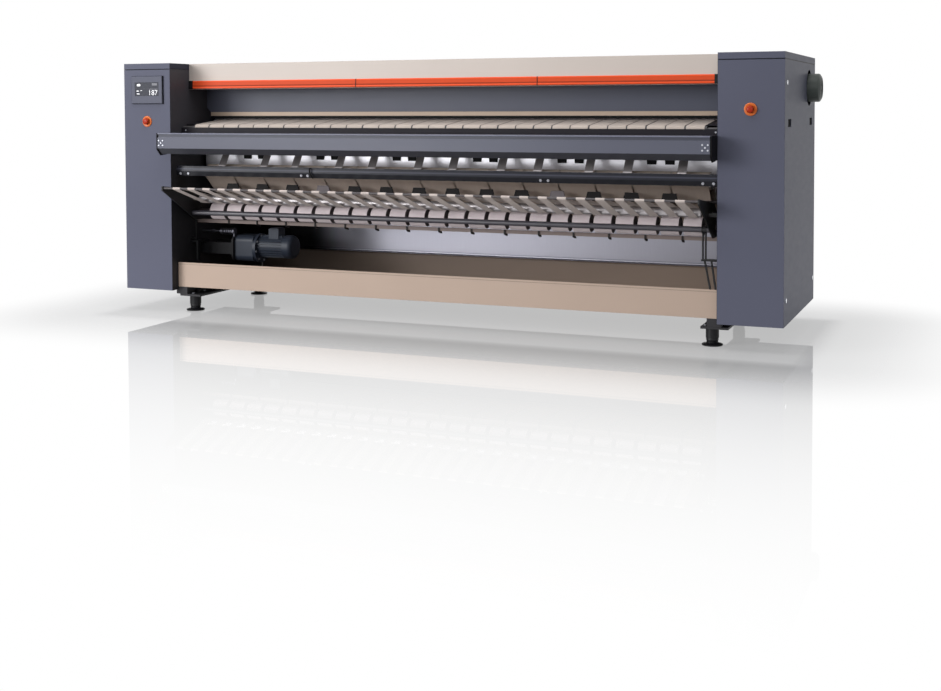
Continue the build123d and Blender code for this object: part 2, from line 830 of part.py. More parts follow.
def window_guard():
    sheet = prism_x(bent_sheet([on_guard(tab_length), on_guard(guard_length)], guard_sheet),
                    -inner, inner)
    foot = on_guard(0)
    tab_line = bent_sheet([(foot[0] - guard_lip, foot[1]), foot, on_guard(tab_length)], guard_sheet)
    for pair_x in row(tab_pairs, tab_pair_pitch):
        for side in (-1, 1):
            x = pair_x + side * (wide_window + tab_width) / 2
            sheet += prism_x(tab_line, x - tab_width / 2, x + tab_width / 2)
    return sheet


save("window_guard", window_guard())

# Scraper bar: shoes that hang close in front of the cylinder
shoe_y = cylinder_y - math.sqrt(cylinder_radius**2 - (cylinder_z - scraper_bar_z) ** 2)
shoe_back = min(shoe_y, cylinder_y - cylinder_radius) - scraper_gap
bar_top = scraper_bar_z + scraper_bar / 2


def scraper():
    bar_back = shoe_back - shoe_thick
    bar = block(-inner, inner, bar_back - scraper_bar, bar_back,
                scraper_bar_z - scraper_bar / 2, bar_top)
    for pair_x in row(tab_pairs, tab_pair_pitch):
        for x in (pair_x - shoe_spacing / 2, pair_x + shoe_spacing / 2):
            outline = [(x - shoe_foot_width / 2, shoe_bottom_z),
                       (x + shoe_foot_width / 2, shoe_bottom_z),
                       (x + shoe_top_width / 2, bar_top), (x - shoe_top_width / 2, bar_top)]
            bar += prism_y(outline, bar_back, shoe_back)
    return bar


save("scraper_bar", scraper())

# Lower cross beam: a hollow section with a crease along its front
crease_z = (cross_beam_top + cross_beam_bottom) / 2
beam_front = cross_beam_y + cross_beam_crease
beam_back = cross_beam_y + cross_beam_depth
beam_outline = [(beam_front, cross_beam_top), (cross_beam_y, crease_z),
                (beam_front, cross_beam_bottom), (beam_back, cross_beam_bottom),
                (beam_back, cross_beam_top)]
beam_hollow = [(beam_front + cross_beam_wall, cross_beam_top - cross_beam_wall),
               (cross_beam_y + cross_beam_wall, crease_z),
               (beam_front + cross_beam_wall, cross_beam_bottom + cross_beam_wall),
               (beam_back - cross_beam_wall, cross_beam_bottom + cross_beam_wall),
               (beam_back - cross_beam_wall, cross_beam_top - cross_beam_wall)]
save("cross_beam", prism_x(beam_outline, -inner, inner) - prism_x(beam_hollow, -inner - 1, inner + 1))


# Belt combs: one guide plate at each slit between the ironing belts, on a bar
def belt_combs():
    combs = rod_x(comb_y + comb_thick + comb_bar_radius, comb_bar_z, comb_bar_radius, -inner, inner)
    for x in row(belt_count - 1, belt_pitch):
        outline = [(x - comb_foot_width / 2, comb_bar_z), (x + comb_foot_width / 2, comb_bar_z),
                   (x + comb_top_width / 2, comb_top_z), (x - comb_top_width / 2, comb_top_z)]
        combs += prism_y(outline, comb_y, comb_y + comb_thick + comb_bar_radius / 2)
    return combs


save("belt_combs", belt_combs())


# Return rack: side plates with bosses to the side frames, front tube, tape roller and rod
def rack_side_plate():
    outline = [(tube_y - rack_edge, tube_z + rack_edge), (tube_y - rack_edge, tube_z - rack_edge),
               (rack_heel_y, rack_bottom), (rack_back_y, rack_bottom),
               (rack_back_y, rack_shoulder_z), (rack_crown_y, rack_crown_z)]
    outer = rack_plate_x + rack_plate
    plate = prism_x(outline, rack_plate_x, outer)
    plate += rod_x(rack_boss_y, rack_boss_z, rack_boss_radius, outer, inner)
    plate += rod_x(rack_back_y - 2 * rack_boss_radius, rack_shoulder_z, rack_boss_radius, outer, inner)
    plate -= rod_x(segment_roller_y, segment_roller_z, segment_shaft / 2 + rack_edge / 2,
                   rack_plate_x - 1, inner)
    return plate - rod_x(tape_roller_y, tape_roller_z, tape_roller_shaft + bearing_fit,
                         rack_plate_x - 1, outer + 1)


rack_plate_right = rack_side_plate()
save("rack_side_plates", rack_plate_right, mirrored(rack_plate_right))
save("rack_front_tube", rod_x(tube_y, tube_z, tube_radius, -rack_plate_x, rack_plate_x))
save("tape_roller", roller(tape_roller_y, tape_roller_z, tape_roller_radius,
                           rack_plate_x - tape_width, tape_roller_shaft, rack_plate_x + rack_plate))
save("rack_rod", rod_x(rack_rod_y, rack_rod_z, rack_rod_radius, -rack_plate_x, rack_plate_x))

tape_loop = [(tube_y, tube_z, tube_radius + belt_gap, 1, tape_chord),
             (tape_roller_y, tape_roller_z, tape_roller_radius + belt_gap, 1, tape_chord)]
save("return_tapes", *[belt(tape_loop, tape_thick, x - tape_width / 2, x + tape_width / 2)
                       for x in row(tape_count, tape_pitch)])


# Segmented roller: short sleeves along one shaft that runs in the side frames
def segmented_roller():
    shaft_half = inner + frame_plate
    middle = Pos(segment_roller_y, segment_roller_z)
    turned = rod_x(segment_roller_y, segment_roller_z, segment_shaft / 2, inner - end_disc, shaft_half)
    turned += mirrored(turned)
    flats = Plane.YZ.offset(end_disc - inner) * middle * RegularPolygon(segment_shaft / 2, shaft_sides)
    turned += extrude(flats, amount=2 * (inner - end_disc))
    section = middle * RegularPolygon(segment_radius, segment_sides)
    half_length = (segment_pitch - segment_slit) / 2
    for x in row(segment_count, segment_pitch):
        sleeve_left = x + segment_shift - half_length
        turned += extrude(Plane.YZ.offset(sleeve_left) * section, amount=2 * half_length)
    return turned


save("segmented_roller", segmented_roller())


# Hook strip: a folded strip with upturned hooks that reach forward under the segmented roller
def hook_strip():
    strip_points = bent_sheet([(strip_y, strip_top), (strip_y, strip_bottom),
                               (strip_y + strip_depth, strip_bottom)], strip_sheet)
    strip = prism_x(strip_points, -inner, inner)
    tip_y, tip_z = strip_y + hook_reach, strip_bottom - hook_drop
    hook = [(strip_y, strip_top), (strip_y - hook_height, strip_top),
            (strip_y - hook_height, strip_bottom), (strip_y - hook_height / 2, strip_bottom - hook_point),
            (strip_y + hook_height, strip_bottom - hook_height - hook_point / 2), (tip_y, tip_z),
            (tip_y, tip_z + hook_point), (strip_y + strip_depth, strip_bottom),
            (strip_y, strip_bottom)]
    for x in row(hook_count, hook_pitch):
        strip += prism_x(hook, x - hook_thick / 2, x + hook_thick / 2)
    return strip


save("hook_strip", hook_strip())


# Rack stays: eyes on the rack rod, hangers, a bracket on the side frame and legs to the trough
def right_stay():
    low_y, high_y = rack_rod_y - stay_bracket_depth / 2, rack_rod_y + stay_bracket_depth / 2
    stay = block(stay_bracket_left, inner, low_y, high_y, stay_bracket_z - stay_radius,
                 stay_bracket_z + stay_radius)
    eye_radius = rack_rod_radius + face_gap + stay_eye_wall
    for x in (stay_x - stay_spacing / 2, stay_x + stay_spacing / 2):
        hanger = Plane.XY.offset(stay_bracket_z) * Pos(x, rack_rod_y) * Circle(stay_radius)
        stay += extrude(hanger, amount=rack_rod_z - rack_rod_radius - stay_eye_wall - stay_bracket_z)
        stay += rod_x(rack_rod_y, rack_rod_z, eye_radius, x - stay_radius, x + stay_radius)
    stay -= rod_x(rack_rod_y, rack_rod_z, rack_rod_radius + face_gap, stay_bracket_left, inner)
    half_leg = stay_leg_width / 2
    for top_inset, foot_inset_x in stay_leg_insets:
        ends = [Plane.XY.offset(trough_top) * Pos(inner - foot_inset_x, trough_front + half_leg),
                Plane.XY.offset(stay_bracket_z) * Pos(inner - top_inset, low_y + half_leg)]
        stay += loft([end * Rectangle(stay_leg_width, stay_leg_width) for end in ends])
    return stay


def left_stay():
    half_post = left_post_width / 2
    post = block(left_post_x - half_post, left_post_x + half_post, left_post_y - half_post,
                 left_post_y + half_post, left_bracket_z, left_post_top)
    return post + block(-inner, left_post_x + half_post, left_post_y - half_post,
                        left_post_y + half_post, left_bracket_z - half_post,
                        left_bracket_z + half_post)


save("rack_stays", right_stay(), left_stay())

# Hood: folded front, top and underside between the cabinets; rear panel behind the belts
hood_points = bent_sheet([(flap_y - flap_front_gap, hood_flange_z), (hood_front, hood_flange_z),
                          (hood_front, cabinet_top), (cabinet_depth, cabinet_top)], -casing_sheet)
save("hood", prism_x(hood_points, -inner, inner))
save("rear_panel", block(-inner, inner, cabinet_depth - casing_sheet, cabinet_depth,
                         trough_top, cabinet_top - casing_sheet))

# Trim bar on the hood: three lengths with dark joining and end pieces
trim_front = hood_front - trim_depth
ridge_top = trim_bottom + trim_ridge
trim_points = [(hood_front, trim_bottom), (trim_front, trim_bottom), (trim_front, ridge_top),
               (trim_front + trim_step, ridge_top + trim_step),
               (trim_front + trim_step, trim_top - 2 * trim_step),
               (trim_front + 2 * trim_step, trim_top), (hood_front, trim_top)]
trim_stops = [-inner + trim_end, trim_joint_left, trim_joint_right, inner - trim_end]
trim_pieces = []
for start, end in zip(trim_stops, trim_stops[1:]):
    left = start if start == trim_stops[0] else start + trim_joint
    trim_pieces.append(prism_x(trim_points, left, end))
save("trim_bar", *trim_pieces)
joiner_front = trim_front + trim_step / 2
save("trim_joiners",
     *[block(x, x + width, joiner_front, hood_front, trim_bottom, trim_top)
       for x, width in ((-inner, trim_end), (trim_joint_left, trim_joint),
                        (trim_joint_right, trim_joint), (inner - trim_end, trim_end))])


# Finger guard: a flap that hangs from a rod behind the trim bar and gives way when touched
def finger_guard():
    half = inner - flap_side_gap
    middle = flap_y + flap_sheet / 2
    sleeve_radius_out = flap_hinge_radius + flap_hinge_fit + flap_hinge_wall
    flap = block(-half, half, flap_y, flap_y + flap_sheet, flap_bottom, flap_hinge_z)
    corner = prism_y([(half - flap_corner, flap_bottom), (half, flap_bottom),
                      (half, flap_bottom + flap_corner)], flap_y, flap_y + flap_sheet)
    flap -= [corner, mirrored(corner)]
    flap += rod_x(middle, flap_hinge_z, sleeve_radius_out, -half, half)
    return flap - rod_x(middle, flap_hinge_z, flap_hinge_radius + flap_hinge_fit, -half - 1, half + 1)


save("finger_guard", finger_guard())
save("guard_hinge_rod", rod_x(flap_y + flap_sheet / 2, flap_hinge_z, flap_hinge_radius, -inner, inner))

# Trough under the machine and the stainless liner above its rear edge
trough_half = inner - trough_side_gap
trough_points = bent_sheet([(trough_front + trough_hem, trough_top), (trough_front, trough_top),
                            (trough_front, trough_bottom), (trough_back, trough_bottom),
                            (trough_back, trough_top), (trough_back - trough_hem, trough_top)],
                           trough_sheet)
save("trough", prism_x(trough_points, -trough_half, trough_half))
liner_points = bent_sheet([(liner_y, liner_top), (liner_y, liner_bottom),
                           (liner_y - liner_lip, liner_bottom - liner_lip / 2)], -liner_sheet)
save("rear_liner", prism_x(liner_points, -inner, inner))

# Gearmotor with its frame on the left side frame
gearbox_right = gearbox_left + gearbox_length
half_box = gearbox_size / 2
housing = block(gearbox_left, gearbox_right, motor_y - half_box, motor_y + half_box,
                motor_z - half_box, motor_z + half_box)
housing = fillet(housing.edges().filter_by(Axis.X), gearbox_fillet)
housing += rod_x(motor_y, motor_z, motor_flange_radius, gearbox_right,
                 gearbox_right + motor_flange_thick)
housing -= rod_x(motor_y, motor_z, output_radius + bearing_fit, gearbox_left - 1,
                 gearbox_left + output_depth)
save("gearbox", housing)


def drive_motor():
    flange_face = gearbox_right + motor_flange_thick
    cowl_left = motor_right - motor_cowl
    fin_radius = motor_radius - motor_cowl_wall
    shaft_z = motor_z + motor_lift
    cowl = rod_x(motor_y, shaft_z, motor_radius, cowl_left, motor_right)
    cowl = fillet(cowl.edges().sort_by(Axis.X)[-1], motor_cowl_dome)
    motor = rod_x(motor_y, shaft_z, fin_radius - motor_fin_height, flange_face, cowl_left) + cowl
    fin = Plane.YZ.offset(flange_face) * Pos(motor_y, shaft_z)
    for turn in range(motor_fin_count):
        place = fin * Rot(0, 0, 360 / motor_fin_count * turn) * Pos(fin_radius / 2, 0)
        motor += extrude(place * Rectangle(fin_radius, motor_fin_thick), amount=cowl_left - flange_face)
    return motor + block(terminal_left, terminal_left + terminal_length,
                         motor_y - terminal_width / 2, motor_y + terminal_width / 2, shaft_z,
                         terminal_top)


save("drive_motor", drive_motor())


def motor_frame():
    plate_left = gearbox_left - motor_bracket
    reach = half_box + motor_arm / 2
    carrier = block(plate_left, gearbox_left, motor_y - reach, motor_y + reach,
                    motor_z - half_box, motor_z + half_box)
    carrier = fillet(carrier.edges().filter_by(Axis.X), gearbox_fillet)
    for y in (motor_y - reach, motor_y + reach - motor_bracket):
        carrier += block(-inner, plate_left, y, y + motor_bracket, motor_z - motor_arm,
                         motor_z + motor_arm)
    carrier -= rod_x(motor_y, motor_z, output_radius + stay_eye_wall, plate_left - 1, gearbox_left + 1)
    brace_back = motor_y - reach + motor_bracket
    carrier += block(motor_brace_x, motor_brace_x + motor_bracket, left_post_y - motor_bracket,
                     left_post_y + motor_bracket, trough_top, motor_brace_z)
    carrier += block(-inner, motor_brace_x + motor_bracket, left_post_y - motor_bracket,
                     brace_back, motor_brace_z - motor_bracket, motor_brace_z)
    return carrier + block(motor_brace_x, motor_brace_x + motor_bracket, motor_y - reach, brace_back,
                           motor_z, motor_brace_z)


save("motor_frame", motor_frame())


# Exhaust fan in the right cabinet: scroll housing with its spigot, wheel and motor
def fan_housing():
    duct_left = inner + frame_plate
    low_z = fan_z - fan_scroll_radius
    high_z = low_z + fan_outlet_height
    scroll = rod_x(fan_y, fan_z, fan_scroll_radius, fan_left, fan_right)
    scroll += block(fan_left, fan_right, fan_y, fan_outlet_back, low_z, high_z)
    scroll += rod_x(fan_y, fan_z, fan_inlet_radius, duct_left, fan_left)
    neck_end = cabinet_depth + spigot_neck
    scroll += rod_y(spigot_x, spigot_z, spigot_radius - spigot_step, fan_outlet_back, neck_end)
    scroll += rod_y(spigot_x, spigot_z, spigot_radius, neck_end, spigot_end)
    scroll -= rod_x(fan_y, fan_z, fan_scroll_radius - fan_wall, fan_left + fan_wall,
                    fan_right - fan_wall)
    scroll -= block(fan_left + fan_wall, fan_right - fan_wall, fan_y,
                    fan_outlet_back - fan_wall, low_z + fan_wall, high_z - fan_wall)
    scroll -= rod_x(fan_y, fan_z, fan_inlet_radius - fan_wall, duct_left - 1, fan_left + fan_wall + 1)
    scroll -= rod_y(spigot_x, spigot_z, spigot_radius - fan_wall, fan_outlet_back - fan_wall - 1,
                    spigot_end + 1)
    return scroll - rod_x(fan_y, fan_z, fan_shaft_radius + 1, fan_right - fan_wall - 1, fan_right + 1)


save("fan_housing", fan_housing())


def fan_wheel():
    disc_x = fan_right - 10 * fan_wall
    wheel = rod_x(fan_y, fan_z, wheel_radius, disc_x, disc_x + wheel_disc)
    wheel += rod_x(fan_y, fan_z, wheel_hub_radius, disc_x - wheel_hub_radius, disc_x)
    wheel += rod_x(fan_y, fan_z, fan_shaft_radius, disc_x, fan_right + 2 * wheel_hub_radius)
    front_x = disc_x - wheel_blade_width
    for k in range(wheel_blades):
        blade = block(front_x, disc_x, -wheel_disc / 2, wheel_disc / 2,
                      wheel_radius - wheel_blade_length, wheel_radius - wheel_disc)
        turn = Rot(360 / wheel_blades * k, 0, 0)
        wheel += Pos(0, fan_y, fan_z) * turn * blade
    ring = rod_x(fan_y, fan_z, wheel_radius, front_x - wheel_disc, front_x)
    ring -= rod_x(fan_y, fan_z, wheel_radius - wheel_blade_length - wheel_disc,
                  front_x - wheel_disc - 1, front_x + 1)
    return wheel + ring


save("fan_wheel", fan_wheel())

motor_points = [(fan_right, 0), (fan_right, fan_motor_radius),
                (fan_motor_face - fan_motor_chamfer, fan_motor_radius),
                (fan_motor_face, fan_motor_radius - fan_motor_chamfer), (fan_motor_face, 0)]
fan_motor = revolve(Plane.XZ * make_face(Polyline(*motor_points, close=True)), Axis.X)
fan_motor = Pos(0, fan_y, fan_z) * fan_motor
fan_motor -= rod_x(fan_y, fan_z, fan_shaft_radius + bearing_fit, fan_right - 1,
                   fan_right + 2 * wheel_hub_radius + 2)
save("fan_motor", fan_motor)


# Stop buttons: a collar through the cabinet front and a mushroom head on a stem
def stop_collar(x, z):
    collar = rod_y(x, z, collar_radius, -collar_height, 0)
    collar += rod_y(x, z, collar_body_radius, 0, collar_body_depth)
    return collar - rod_y(x, z, button_stem_radius + button_stem_fit, -collar_height - 1,
                          collar_body_depth + 1)


def stop_button(x, z):
    head = rod_y(x, z, button_radius, -button_back - button_height, -button_back)
    head = chamfer(head.faces().sort_by(Axis.Y)[0].edges(), button_height / 4)
    return head + rod_y(x, z, button_stem_radius, -button_back, button_stem_depth)


save("stop_collars", stop_collar(stop_left_x, stop_left_z), stop_collar(stop_right_x, stop_right_z))
save("stop_button_left", stop_button(stop_left_x, stop_left_z))
save("stop_button_right", stop_button(stop_right_x, stop_right_z))


# Display: a housing that stands proud of the left cabinet, with the screen set into it
def display_housing():
    body = block(bezel_left, bezel_right, -bezel_proud, 0, bezel_bottom, bezel_top)
    body = chamfer(body.faces().sort_by(Axis.Y)[0].edges(), bezel_edge)
    body += block(screen_left, screen_right, 0, bezel_body_depth, screen_bottom, screen_top)
    return body - block(screen_left, screen_right, -bezel_proud - 1,
                        screen_recess + screen_thick - bezel_proud, screen_bottom, screen_top)


save("display_housing", display_housing())
save("display_screen", block(screen_left, screen_right, screen_recess - bezel_proud,
                             screen_recess + screen_thick - bezel_proud, screen_bottom, screen_top))


# Hexagon heads on the cross beam, front rail, apron, side frames and bearings
def hexagon(place, direction, across_flats, height):
    """A hexagon head that stands on a flat face and points along `direction`."""
    seat = Plane(origin=place, x_dir=(1, 0, 0) if direction[0] == 0 else (0, 1, 0), z_dir=direction)
    return extrude(seat * RegularPolygon(across_flats / math.sqrt(3), 6), amount=height)


heads = []
beam_slope = math.hypot(cross_beam_crease, cross_beam_top - crease_z)
beam_normal = (0, (crease_z - cross_beam_top) / beam_slope, -cross_beam_crease / beam_slope)
end_bolts = [sign * (inner - inset) for sign in (-1, 1) for inset in beam_bolt_insets]
for x in (*end_bolts, *beam_bolt_places):
    heads.append(hexagon((x, (cross_beam_y + beam_front) / 2, (crease_z + cross_beam_bottom) / 2),
                         beam_normal, bolt_across, bolt_height))
screw_middle = (rail_bottom + rail_chamfer_z + groove_low) / 2
for sign in (-1, 1):
    for dx, dz in ((0, 0), (-screw_spread, -screw_spread), (screw_spread, -screw_spread),
                   (-screw_spread, screw_spread), (screw_spread, screw_spread)):
        heads.append(hexagon((sign * rail_screw_x + dx, rail_front, screw_middle + dz), (0, -1, 0),
                             screw_across, screw_height))
    heads.append(hexagon((sign * rail_screw_x, apron_y, (apron_top + apron_bottom) / 2), (0, -1, 0),
                         screw_across, screw_height))
    for y in (foot_front_y, foot_rear_y):
        heads.append(hexagon((sign * (inner - beam_width - foot_bolt_inset),
                              y - foot_bolt_offset, beam_bottom), (0, 0, 1), bolt_across, bolt_height))
        heads.append(hexagon((sign * (inner - beam_width - foot_bolt_inset),
                              y + foot_bolt_offset, beam_bottom), (0, 0, 1), bolt_across, bolt_height))
    for dy in (-1, 1):
        for dz in (-1, 1):
            heads.append(hexagon((sign * (inner + frame_plate + bearing_depth),
                                  cylinder_y + 0.38 * dy * bearing_size,
                                  cylinder_z + 0.38 * dz * bearing_size),
                                 (sign, 0, 0), bolt_across, bolt_height))
save("frame_bolts", *heads)
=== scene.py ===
import math

import bmesh
import bpy
import numpy as np
from mathutils import Matrix, Vector


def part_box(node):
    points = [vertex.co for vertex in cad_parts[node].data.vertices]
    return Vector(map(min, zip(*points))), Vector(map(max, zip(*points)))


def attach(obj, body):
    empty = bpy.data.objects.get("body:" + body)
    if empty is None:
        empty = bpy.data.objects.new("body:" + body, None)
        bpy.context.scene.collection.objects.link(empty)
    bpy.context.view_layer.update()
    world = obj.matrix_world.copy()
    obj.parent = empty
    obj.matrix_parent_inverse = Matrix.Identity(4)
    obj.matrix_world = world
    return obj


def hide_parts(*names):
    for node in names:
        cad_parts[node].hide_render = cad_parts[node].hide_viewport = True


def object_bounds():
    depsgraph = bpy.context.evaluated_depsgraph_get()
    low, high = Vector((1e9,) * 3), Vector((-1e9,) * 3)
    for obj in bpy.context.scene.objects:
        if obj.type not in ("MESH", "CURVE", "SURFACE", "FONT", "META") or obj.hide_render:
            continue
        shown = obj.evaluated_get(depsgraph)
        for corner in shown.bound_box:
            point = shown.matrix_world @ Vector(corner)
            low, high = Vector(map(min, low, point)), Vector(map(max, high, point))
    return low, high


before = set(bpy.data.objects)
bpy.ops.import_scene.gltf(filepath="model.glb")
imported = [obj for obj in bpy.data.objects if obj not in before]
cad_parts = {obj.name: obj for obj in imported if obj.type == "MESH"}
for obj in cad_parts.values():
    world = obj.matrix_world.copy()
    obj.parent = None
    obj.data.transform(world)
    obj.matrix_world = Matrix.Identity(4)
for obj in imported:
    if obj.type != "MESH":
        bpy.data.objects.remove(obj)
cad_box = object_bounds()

# The studio: a large pale floor under a white surround. The camera and mirror-like metal see
# white, while the surround gives the machine only a low, even light of its own.
studio = bpy.context.scene
studio.view_settings.view_transform = "Standard"


class Wire:
    """A shader value. Arithmetic on it adds Math nodes to the finish that it belongs to."""

    def __init__(self, finish, socket):
        self.finish = finish
        self.socket = socket

    def math(self, operation, *values):
        """One Math node on this value and others."""
        return self.finish.node("Math", {"operation": operation}, dict(enumerate(values)))

    def __add__(self, other):
        return self.math("ADD", self, other)

    def __sub__(self, other):
        return self.math("SUBTRACT", self, other)

    def __rsub__(self, other):
        return self.math("SUBTRACT", other, self)

    def __mul__(self, other):
        return self.math("MULTIPLY", self, other)

    def __truediv__(self, other):
        return self.math("DIVIDE", self, other)

    def __lt__(self, other):
        return self.math("LESS_THAN", self, other)

    def __gt__(self, other):
        return self.math("GREATER_THAN", self, other)

    def __abs__(self):
        return self.math("ABSOLUTE", self)

    def most(self, other):
        """The larger of two values."""
        return self.math("MAXIMUM", self, other)

    __radd__ = __add__
    __rmul__ = __mul__

    def part(self, output):
        """Another output of the node that this value comes from, by its name."""
        return Wire(self.finish, self.socket.node.outputs[output])


class Finish:
    """A material built from nodes: `node` adds one, and `surface` joins values to the shader."""

    def __init__(self, name, owner=None):
        self.owner = owner or bpy.data.materials.new(name)
        self.owner.use_nodes = True
        self.tree = self.owner.node_tree
        self.tree.nodes.clear()

    def node(self, kind, settings, values):
        """Adds a node of a kind; its settings come first, then its sockets' values or links."""
        node = self.tree.nodes.new("ShaderNode" + kind)
        for key, value in settings.items():
            setattr(node, key, value)
        for key, value in values.items():
            if isinstance(value, Wire):
                self.tree.links.new(value.socket, node.inputs[key])
            elif isinstance(node.inputs[key].default_value, (int, float)):
                node.inputs[key].default_value = value
            else:
                size = len(node.inputs[key].default_value)
                node.inputs[key].default_value = (*value, 1.0)[:size]
        return Wire(self, node.outputs[0])

    def shaded(self, colour, factor):
        """A colour made darker or lighter by a factor."""
        return self.node("VectorMath", {"operation": "SCALE"}, {0: colour, "Scale": factor})

    def place(self):
        """Where a point lies in the machine, in metres."""
        return self.node("TexCoord", {}, {}).part("Object")

    def noise(self, vector, scale, detail=2.0, stretch=(1.0, 1.0, 1.0)):
        """Smooth noise between 0 and 1, drawn out along the axes by `stretch`."""
        drawn = self.node("VectorMath", {"operation": "MULTIPLY"}, {0: vector, 1: stretch})
        return self.node("TexNoise", {}, {"Vector": drawn, "Scale": scale, "Detail": detail})

    def axes(self, vector):
        """The three parts of a vector."""
        x = self.node("SeparateXYZ", {}, {0: vector})
        return x, x.part("Y"), x.part("Z")

    def soft_edges(self, radius):
        """The surface's direction with its sharp edges rounded over a radius."""
        return self.node("Bevel", {"samples": 3}, {"Radius": radius})

    def bumped(self, height, depth, normal=None):
        """A bump of a real depth in metres."""
        values = {"Strength": 1.0, "Distance": depth, "Height": height}
        if normal is not None:
            values["Normal"] = normal
        return self.node("Bump", {}, values)

    def surface(self, **values):
        """The Principled shader with its sockets set, as the material's surface."""
        named = {key.replace("_", " ").title().replace("Ior", "IOR"): value
                 for key, value in values.items()}
        self.output(self.node("BsdfPrincipled", {}, named))
        return self.owner

    def output(self, shader):
        """Joins a shader to the output of the material or the world."""
        kind = "World" if isinstance(self.owner, bpy.types.World) else "Material"
        last = self.tree.nodes.new("ShaderNodeOutput" + kind)
        self.tree.links.new(shader.socket, last.inputs[0])


def tint(red, green, blue):
    """A paint swatch read as screen values from 0 to 255, as linear light."""
    screen = np.array([red, green, blue]) / 255.0
    linear = np.where(screen <= 0.04045, screen / 12.92, ((screen + 0.055) / 1.055) ** 2.4)
    return tuple(float(v) for v in linear)


daylight, even_strength, plain_white = (0.93, 0.96, 1.0), 0.235, (1.0, 1.0, 1.0)
surround = Finish("surround", bpy.data.worlds.new("surround"))
studio.world = surround.owner


def seen(finish):
    """1 for rays that the camera, a mirror or a glass sends out, and 0 for soft light."""
    ray = finish.node("LightPath", {}, {})
    return ray.most(ray.part("Is Glossy Ray")).most(ray.part("Is Transmission Ray"))


even = surround.node("Background", {}, {"Color": daylight, "Strength": even_strength})
white = surround.node("Background", {}, {"Color": plain_white, "Strength": 1.0})
surround.output(surround.node("MixShader", {}, {0: seen(surround), 1: even, 2: white}))

# The floor is matt under a clear polish. Away from the machine it fades into the surround. Near it
# the shadow stays, and the reflection is strong at the feet and fades out in front.
floor_half, floor_grey, floor_glow, shadow_reach = 30.0, (0.3, 0.3, 0.303), 0.4, 1.0
polish, polish_reach, polish_roughness = 0.46, 3.6, 0.015
polish_start, polish_full = -0.1, 0.15
smooth = {"interpolation_type": "SMOOTHSTEP"}
floor_mesh = bpy.data.meshes.new("studio_floor")
floor_corners = [(floor_half * x, floor_half * y, 0.0)
                 for x, y in ((-1, -1), (1, -1), (1, 1), (-1, 1))]
floor_mesh.from_pydata(floor_corners, [], [(0, 1, 2, 3)])
studio_floor = bpy.data.objects.new("studio_floor", floor_mesh)
studio.collection.objects.link(studio_floor)
pale = Finish("pale_floor")
x, y = pale.axes(pale.place())[:2]
beside = (abs(x) - cad_box[1].x).most(0.0)
before = (abs(y) - cad_box[1].y).most(0.0)
away = pale.node("VectorMath", {"operation": "LENGTH"},
                 {0: pale.node("CombineXYZ", {}, {0: beside, 1: before})}).part("Value")
far = pale.node("MapRange", smooth, {0: away, 1: 0.0, 2: shadow_reach})
close = (1.0 - away / polish_reach).most(0.0)
matt = pale.node("BsdfDiffuse", {}, {"Color": floor_grey})
glow = pale.node("Emission", {}, {"Strength": seen(pale) * floor_glow})
lit = pale.node("AddShader", {}, {0: matt, 1: glow})
beyond = pale.node("Emission", {}, {"Strength": seen(pale)})
ground = pale.node("MixShader", {}, {0: far, 1: lit, 2: beyond})
mirror = pale.node("BsdfGlossy", {}, {"Color": plain_white, "Roughness": polish_roughness})
open_floor = pale.node("MapRange", smooth, {0: away, 1: polish_start, 2: polish_full})
mirrored = close * close * polish * open_floor
pale.output(pale.node("MixShader", {}, {0: mirrored, 1: ground, 2: mirror}))
floor_mesh.materials.append(pale.owner)

# Softboxes: two in front on the left, one above the other, whose sheen lies on the machine's left
# half, a weak one on the right, and one overhead for the feed belts.
for lamp_name, spot, aim, size, power in (
        ("key_softbox", (-5.8, -6.6, 3.0), (-0.8, 0.0, 0.8), 3.2, 380.0),
        ("fill_softbox", (3.2, -8.2, 3.4), (0.8, 0.0, 0.6), 3.0, 75.0),
        ("low_softbox", (-3.4, -7.4, 1.0), (0.2, 0.0, 0.7), 2.8, 150.0),
        ("top_softbox", (0.3, -1.2, 5.0), (0.0, 0.0, 0.0), 4.0, 132.0)):
    softbox = bpy.data.lights.new(lamp_name, "AREA")
    softbox.size = size
    softbox.energy = power
    lamp = bpy.data.objects.new(lamp_name, softbox)
    lamp.location = spot
    lamp.rotation_euler = (Vector(aim) - Vector(spot)).to_track_quat("-Z", "Y").to_euler()
    studio.collection.objects.link(lamp)

# The camera stands to the right of the machine and looks a little to the left. The picture is
# shifted down, so that the cabinets stay upright.
focal_pixels, picture_width, middle_row, level_row = 1283.4, 941.0, 345.5, 160.0
yaw, pitch, roll = 0.3948, -0.0415, -0.0036
lens_place = (2.979, -6.9726, 1.2518)
forward = np.array([-math.sin(yaw) * math.cos(pitch), math.cos(yaw) * math.cos(pitch),
                    math.sin(pitch)])
right = np.array([math.cos(yaw), math.sin(yaw), 0.0])
upward = np.cross(right, forward)
right, upward = (math.cos(roll) * right + math.sin(roll) * upward,
                 -math.sin(roll) * right + math.cos(roll) * upward)
camera_data = bpy.data.cameras.new("camera")
camera_data.sensor_width = 36.0
camera_data.lens = focal_pixels / picture_width * camera_data.sensor_width
camera_data.shift_y = -(middle_row - level_row) / picture_width
camera = bpy.data.objects.new("camera", camera_data)
stance = np.eye(4)
stance[:3] = np.stack([right, upward, -forward, lens_place], 1)
camera.matrix_world = Matrix(stance.tolist())
studio.collection.objects.link(camera)
studio.camera = camera

# Cabinets: folded steel sheet in dark slate powder paint, with a lid and a lift-off side panel
# that meet the casing at narrow seams, darkened with painted shade. The panel hangs on
# quarter-turn locks.
peel_depth, fold_radius = 0.00004, 0.0016


